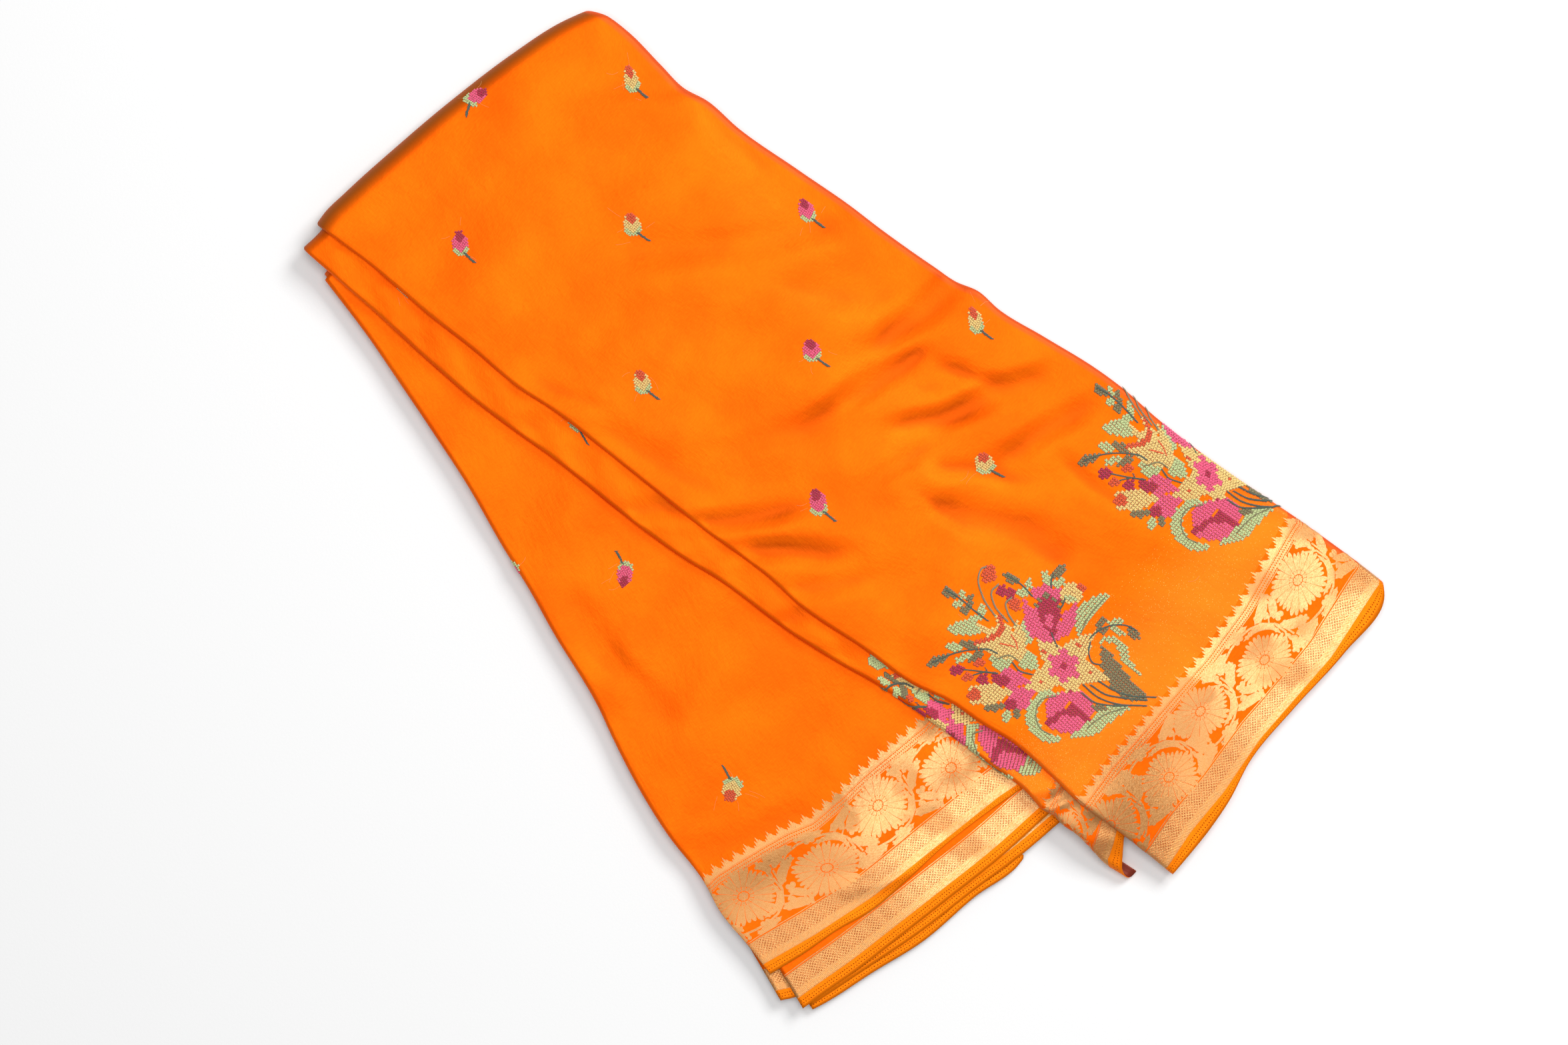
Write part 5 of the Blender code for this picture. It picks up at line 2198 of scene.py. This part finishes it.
@dataclass
class Embroidery:
    """The cross-stitch sewn on one stretch."""

    surface: Surface
    reach: Pair
    needlework: Needlework = Needlework()
    seed: int = 3
    swarm: Swarm = field(default_factory=Swarm)
    grain: Template = field(default_factory=Template.grain)

    def __post_init__(self) -> None:
        """Start the random unevenness."""
        self.draw = np.random.default_rng(self.seed)

    def lay_grains(self, p: Array, q: Array, turn: Array, length: float | Array,
                   thickness: float, height: float, lift: float | Array,
                   thread: Array, is_under: bool = False) -> None:
        """Lay rounded grains of thread on the cloth.

        Args:
            p: Flat places across, one for each grain.
            q: Flat places in from the cut edge.
            turn: The way each runs, in radians from the p axis.
            length: Its length.
            thickness: Its width.
            height: Its height.
            lift: How far its middle lies above the cloth.
            thread: The number of its thread.
            is_under: Whether it is a grain of the dark layer of painted shade under the stitches.
        """
        inside = (p > self.reach[0]) & (p < self.reach[1]) & (q > 0.5)
        count = int(inside.sum())
        if not count:
            return
        p, q, turn, thread = p[inside], q[inside], turn[inside], thread[inside]
        length = np.broadcast_to(length, inside.shape)[inside][:, None]
        lift = np.broadcast_to(lift, inside.shape)[inside][:, None]
        here, over, up, normal = self.surface.frames(p, q)
        ahead = over * np.cos(turn)[:, None] + up * np.sin(turn)[:, None]
        ahead /= np.linalg.norm(ahead, axis=1, keepdims=True)
        side = np.cross(normal, ahead)
        shape = self.grain.corners
        corners = ((here + normal * lift)[:, None]
                   + ahead[:, None] * (shape[None, :, 0:1] * length[:, None] / 2)
                   + side[:, None] * (shape[None, :, 1:2] * thickness / 2)
                   + normal[:, None] * (shape[None, :, 2:3] * height / 2))
        spread = np.repeat(np.stack((p, q), axis=1)[:, None], len(shape), axis=1)
        # Low tints make the layer of painted shade; high ones vary each stitch's tone at random.
        tints = self.draw.uniform(0.0, 0.2, count) if is_under else (
            self.draw.uniform(0.86, 1.0, count))
        self.swarm.add(self.grain, corners, spread, thread, tints)

    def cross_stitches(self, chart: Chart, placing: Placing, pitch: float) -> None:
        """Fill a chart's patches with cross-stitches on a square grid of the cloth's own.

        Args:
            chart: The chart.
            placing: Where it lies.
            pitch: The grid's pitch.
        """
        work = self.needlework
        reach = chart.reach * placing.size
        steps = np.arange(-reach, reach, pitch)
        p, q = np.meshgrid(placing.middle[0] + steps, placing.middle[1] + steps)
        right, up = placing.to_chart(p, q)
        thread = np.full(p.shape, -1)
        for mark in chart.marks:
            thread[mark.covers(right, up)] = mark.thread.number()
        chosen = thread >= 0
        p, q, thread = p[chosen], q[chosen], thread[chosen]
        scale = pitch / work.pitch
        # Lay the dark layer of painted shade under the stitches.
        self.lay_grains(p, q, np.zeros(len(p)), pitch * work.under_size, pitch * work.under_size,
                        work.under_height, work.under_lift, thread, True)
        for lean, layer in ((math.pi / 4, 0.0), (-math.pi / 4, work.layer)):
            shift = self.draw.normal(0.0, work.jitter, (2, len(p)))
            turn = lean + self.draw.normal(0.0, work.jitter, len(p))
            length = work.length * scale * self.draw.uniform(0.92, 1.06, len(p))
            self.lay_grains(p + shift[0], q + shift[1], turn, length, work.thickness * scale,
                            work.height * scale, work.lift + layer, thread)

    def satin_line(self, seam: Seam, placing: Placing) -> None:
        """Sew a line of slanted stitches.

        Args:
            seam: Its thread, its path on the chart and its width.
            placing: Where the chart lies.
        """
        work = self.needlework
        edge = Edge(seam.path)
        run = float(np.hypot(*np.diff(edge.at(np.linspace(0, 1, 30)), axis=0).T).sum())
        share = np.linspace(0.0, 1.0, max(int(run * placing.size / work.seam_step), 3))
        spots = edge.at(share)
        p, q = placing.to_flat(spots[:, 0], spots[:, 1])
        heading = np.arctan2(np.gradient(q), np.gradient(p))
        turn = heading + work.seam_lean + self.draw.normal(0.0, 0.12, len(p))
        length = seam.width * 1.35 * self.draw.uniform(0.85, 1.1, len(p))
        thread = np.full(len(p), seam.thread.number())
        self.lay_grains(p, q, turn, length, work.seam_thickness, work.height, work.lift + 0.3,
                        thread)

    def hairs(self, placing: Placing, count: int, radius: float) -> None:
        """Leave a few loose ends of fine thread round a place.

        Args:
            placing: The place.
            count: How many.
            radius: How far round it they start, in millimetres.
        """
        work = self.needlework
        for _ in range(count):
            angle, bow = self.draw.uniform(0.0, math.tau), self.draw.normal(0.0, 0.12)
            size, out = self.draw.uniform(3.0, 8.0), self.draw.uniform(0.4, 1.0) * radius
            steps = np.arange(0.0, size, work.hair_step)
            turn = angle + self.draw.normal(0.0, 0.9) + bow * steps
            across, along = (np.cumsum(part(turn)) * work.hair_step for part in (np.cos, np.sin))
            p = placing.middle[0] + out * math.cos(angle) + across
            q = placing.middle[1] + out * math.sin(angle) + along
            thread = np.full(len(p), Thread.HAIR.number())
            self.lay_grains(p, q, turn, work.hair_length, work.hair_thickness,
                            work.hair_thickness, work.hair_lift, thread)

    def sew(self, chart: Chart, placing: Placing, pitch: float | None = None) -> None:
        """Sew one chart.

        Args:
            chart: The chart.
            placing: Where it lies.
            pitch: The grid's pitch, where it isn't the usual one.
        """
        self.cross_stitches(chart, placing, pitch or self.needlework.pitch)
        for seam in chart.seams:
            self.satin_line(seam, placing)

    def bouquet_placing(self, x: float, y: float) -> Placing:
        """Return the placing of a bouquet whose heart lies at a plan point."""
        return Placing(self.surface.flat_place(x, y), (0.6056, -0.7958), (0.7958, 0.6056))

    def bud_placing(self, head: Pair, tip: Pair) -> Placing:
        """Return the placing of a bud by two plan points.

        Args:
            head: The top of its head.
            tip: The end of its stem.

        Returns:
            The placing.
        """
        top = np.array(self.surface.flat_place(*head))
        low = np.array(self.surface.flat_place(*tip))
        chart_top, chart_low = np.array((-0.7, 6.7)), np.array((9.2, -9.9))
        run, chart_run = low - top, chart_low - chart_top
        size = float(np.clip(np.hypot(*run) / np.hypot(*chart_run), 0.88, 1.0))
        turn = math.atan2(run[1], run[0]) - math.atan2(chart_run[1], chart_run[0])
        right, up = (math.cos(turn), math.sin(turn)), (-math.sin(turn), math.cos(turn))
        middle = top - size * (np.array(right) * chart_top[0] + np.array(up) * chart_top[1])
        return Placing((float(middle[0]), float(middle[1])), right, up, size)

    def sew_buds(self, buds: Sequence[Bud], moved: Sequence[Pair] = ()) -> None:
        """Sew buds.

        Args:
            buds: Each bud as whether it is pink, its head's top and its stem's end.
            moved: Where the first bud is sewn again, by how far from it on the flat cloth.
        """
        placings = [(is_pink, self.bud_placing(head, tip)) for is_pink, head, tip in buds]
        for p, q in moved:
            is_pink, first = placings[0]
            middle = (first.middle[0] + p, first.middle[1] + q)
            placings.append((is_pink, Placing(middle, first.right, first.up, first.size)))
        for is_pink, placing in placings:
            self.sew(bud_chart(is_pink), placing, 1.15)
            self.hairs(placing, int(self.draw.integers(3, 6)), 9.0)

    def finish(self, name: str, threads: Sequence[Material]) -> None:
        """Join the stitches into one piece."""
        add_piece(name, self.swarm.mesh(name), threads)


@dataclass
class Decoration:
    """All that is woven in gold or sewn in thread on the stretches."""

    surfaces: dict[str, Surface]
    gold: GoldFinish = GoldFinish()
    thread: ThreadFinish = ThreadFinish()
    top_reach: Pair = (-10.0, 184.0)
    second_reach: Pair = (-13.5, 26.0)
    lower_reach: Pair = (-2.9, 168.0)
    layer_reach: Pair = (0.4, 167.0)
    layer_lines: Line = ((-0.1, 0.4), (12.7, 0.45), (13.7, 0.45))
    top_high: Line = ((-4.0, -238.1), (71.0, -238.7), (157.0, -238.1))
    top_low: Line = ((33.6, -249.6), (113.0, -246.1))
    lower_high: Line = ((-151.9, -109.9), (-72.2, -141.3))
    lower_low: Line = ((-113.1, -134.8), (-32.6, -159.1))
    top_buds: tuple[Bud, ...] = (
        (False, (157.9, 201.8), (152.4, 187.6)), (True, (101.0, 266.8), (95.9, 253.8)),
        (True, (35.6, 219.8), (28.2, 204.6)), (False, (97.3, 154.0), (92.6, 139.0)),
        (True, (158.6, 87.2), (154.6, 72.7)), (True, (101.7, 39.2), (96.8, 23.7)),
        (False, (34.9, 100.4), (29.3, 84.2)), (False, (167.1, -18.0), (161.0, -34.6)),
        (False, (109.4, -68.6), (106.6, -84.5)), (True, (41.1, -10.6), (34.4, -28.4)),
    )
    second_buds: tuple[Bud, ...] = (
        (False, (-2.6, 233.3), (-7.5, 217.8)), (True, (-7.6, 115.0), (-12.0, 99.4)),
    )
    lower_buds: tuple[Bud, ...] = (
        (True, (-59.9, 40.1), (-48.5, 52.9)), (False, (-116.1, -72.2), (-103.0, -58.7)),
    )
    lower_moved: Line = ((-52.2, 31.0),)
    before_first: float = 37.5
    after_last: float = 41.5
    before_lower: float = 41.0
    lower_bloom: float = 1.22
    second_high: float = -9.0
    second_low: float = 31.0
    bouquets: tuple[tuple[str, Pair, int], ...] = (("top_bouquet", (46.5, -169.8), 3),
                                                   ("side_bouquet", (172.8, -169.2), 4))
    second_heart: Pair = (8.0, -155.0)
    second_level: float = 107.0

    def places_across(self, name: str, points: Line) -> tuple[float, ...]:
        """Return the flat places across of plan points on a stretch."""
        return tuple(self.surfaces[name].flat_place(*point)[0] for point in points)

    def weave_gold(self) -> None:
        """Weave the gold of each stretch's border."""
        gold = (self.gold.make(), ClothFinish().edge())
        high = self.places_across("top_cloth", self.top_high[1:])
        low = self.places_across("top_cloth", self.top_low)
        first, last = low[0] - self.before_first, high[-1] + self.after_last
        top = GoldBorder(self.surfaces["top_cloth"], (first, *high), (*low, last),
                         self.top_reach)
        top.build("top_zari", gold)
        second = GoldBorder(self.surfaces["second_cloth"], (self.second_high,),
                            (self.second_low,), self.second_reach)
        second.build("second_zari", gold)
        high = self.places_across("lower_cloth_1", self.lower_high)
        low = self.places_across("lower_cloth_1", self.lower_low)
        lower = GoldBorder(self.surfaces["lower_cloth_1"], high,
                           (*low, high[0] - self.before_lower), self.lower_reach,
                           bloom=self.lower_bloom)
        lower.build("lower_zari_1", gold)
        for index in (2, 3, 4):
            levels = self.layer_lines if index == 2 else self.layer_lines[:1]
            layer = GoldBorder(self.surfaces[f"lower_cloth_{index}"], reach=self.layer_reach,
                               line_levels=levels)
            layer.build(f"lower_zari_{index}", gold)

    def sew(self) -> None:
        """Sew the bouquets and the buds."""
        threads = [self.thread.make(thread) for thread in Thread]
        chart = bouquet_chart()
        for name, place, seed in self.bouquets:
            work = Embroidery(self.surfaces["top_cloth"], self.top_reach, seed=seed)
            placing = work.bouquet_placing(*place)
            work.sew(chart, placing)
            work.hairs(placing, 12, 60.0)
            work.finish(name, threads)
        second = Embroidery(self.surfaces["second_cloth"], self.second_reach, seed=5)
        across = second.surface.flat_place(*self.second_heart)[0]
        second.sew(chart, Placing((across, self.second_level), (0.6639, -0.7478),
                                  (0.7478, 0.6639)))
        second.finish("second_bouquet", threads)
        for name, stretch, reach, buds, seed in (
                ("top_buds", "top_cloth", self.top_reach, self.top_buds, 6),
                ("second_buds", "second_cloth", self.second_reach, self.second_buds, 7),
                ("lower_buds", "lower_cloth_1", self.lower_reach, self.lower_buds, 8)):
            work = Embroidery(self.surfaces[stretch], reach, seed=seed)
            work.sew_buds(buds, self.lower_moved if name == "lower_buds" else ())
            work.finish(name, threads)


def main() -> None:
    """Build the studio and every piece of the sari."""
    logging.basicConfig(level=logging.INFO, format="%(message)s")
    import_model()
    Studio().build()
    surfaces = ClothStack().build()
    HiddenPleats().build()
    decoration = Decoration(surfaces)
    decoration.weave_gold()
    decoration.sew()


if __name__ == "__main__":
    main()
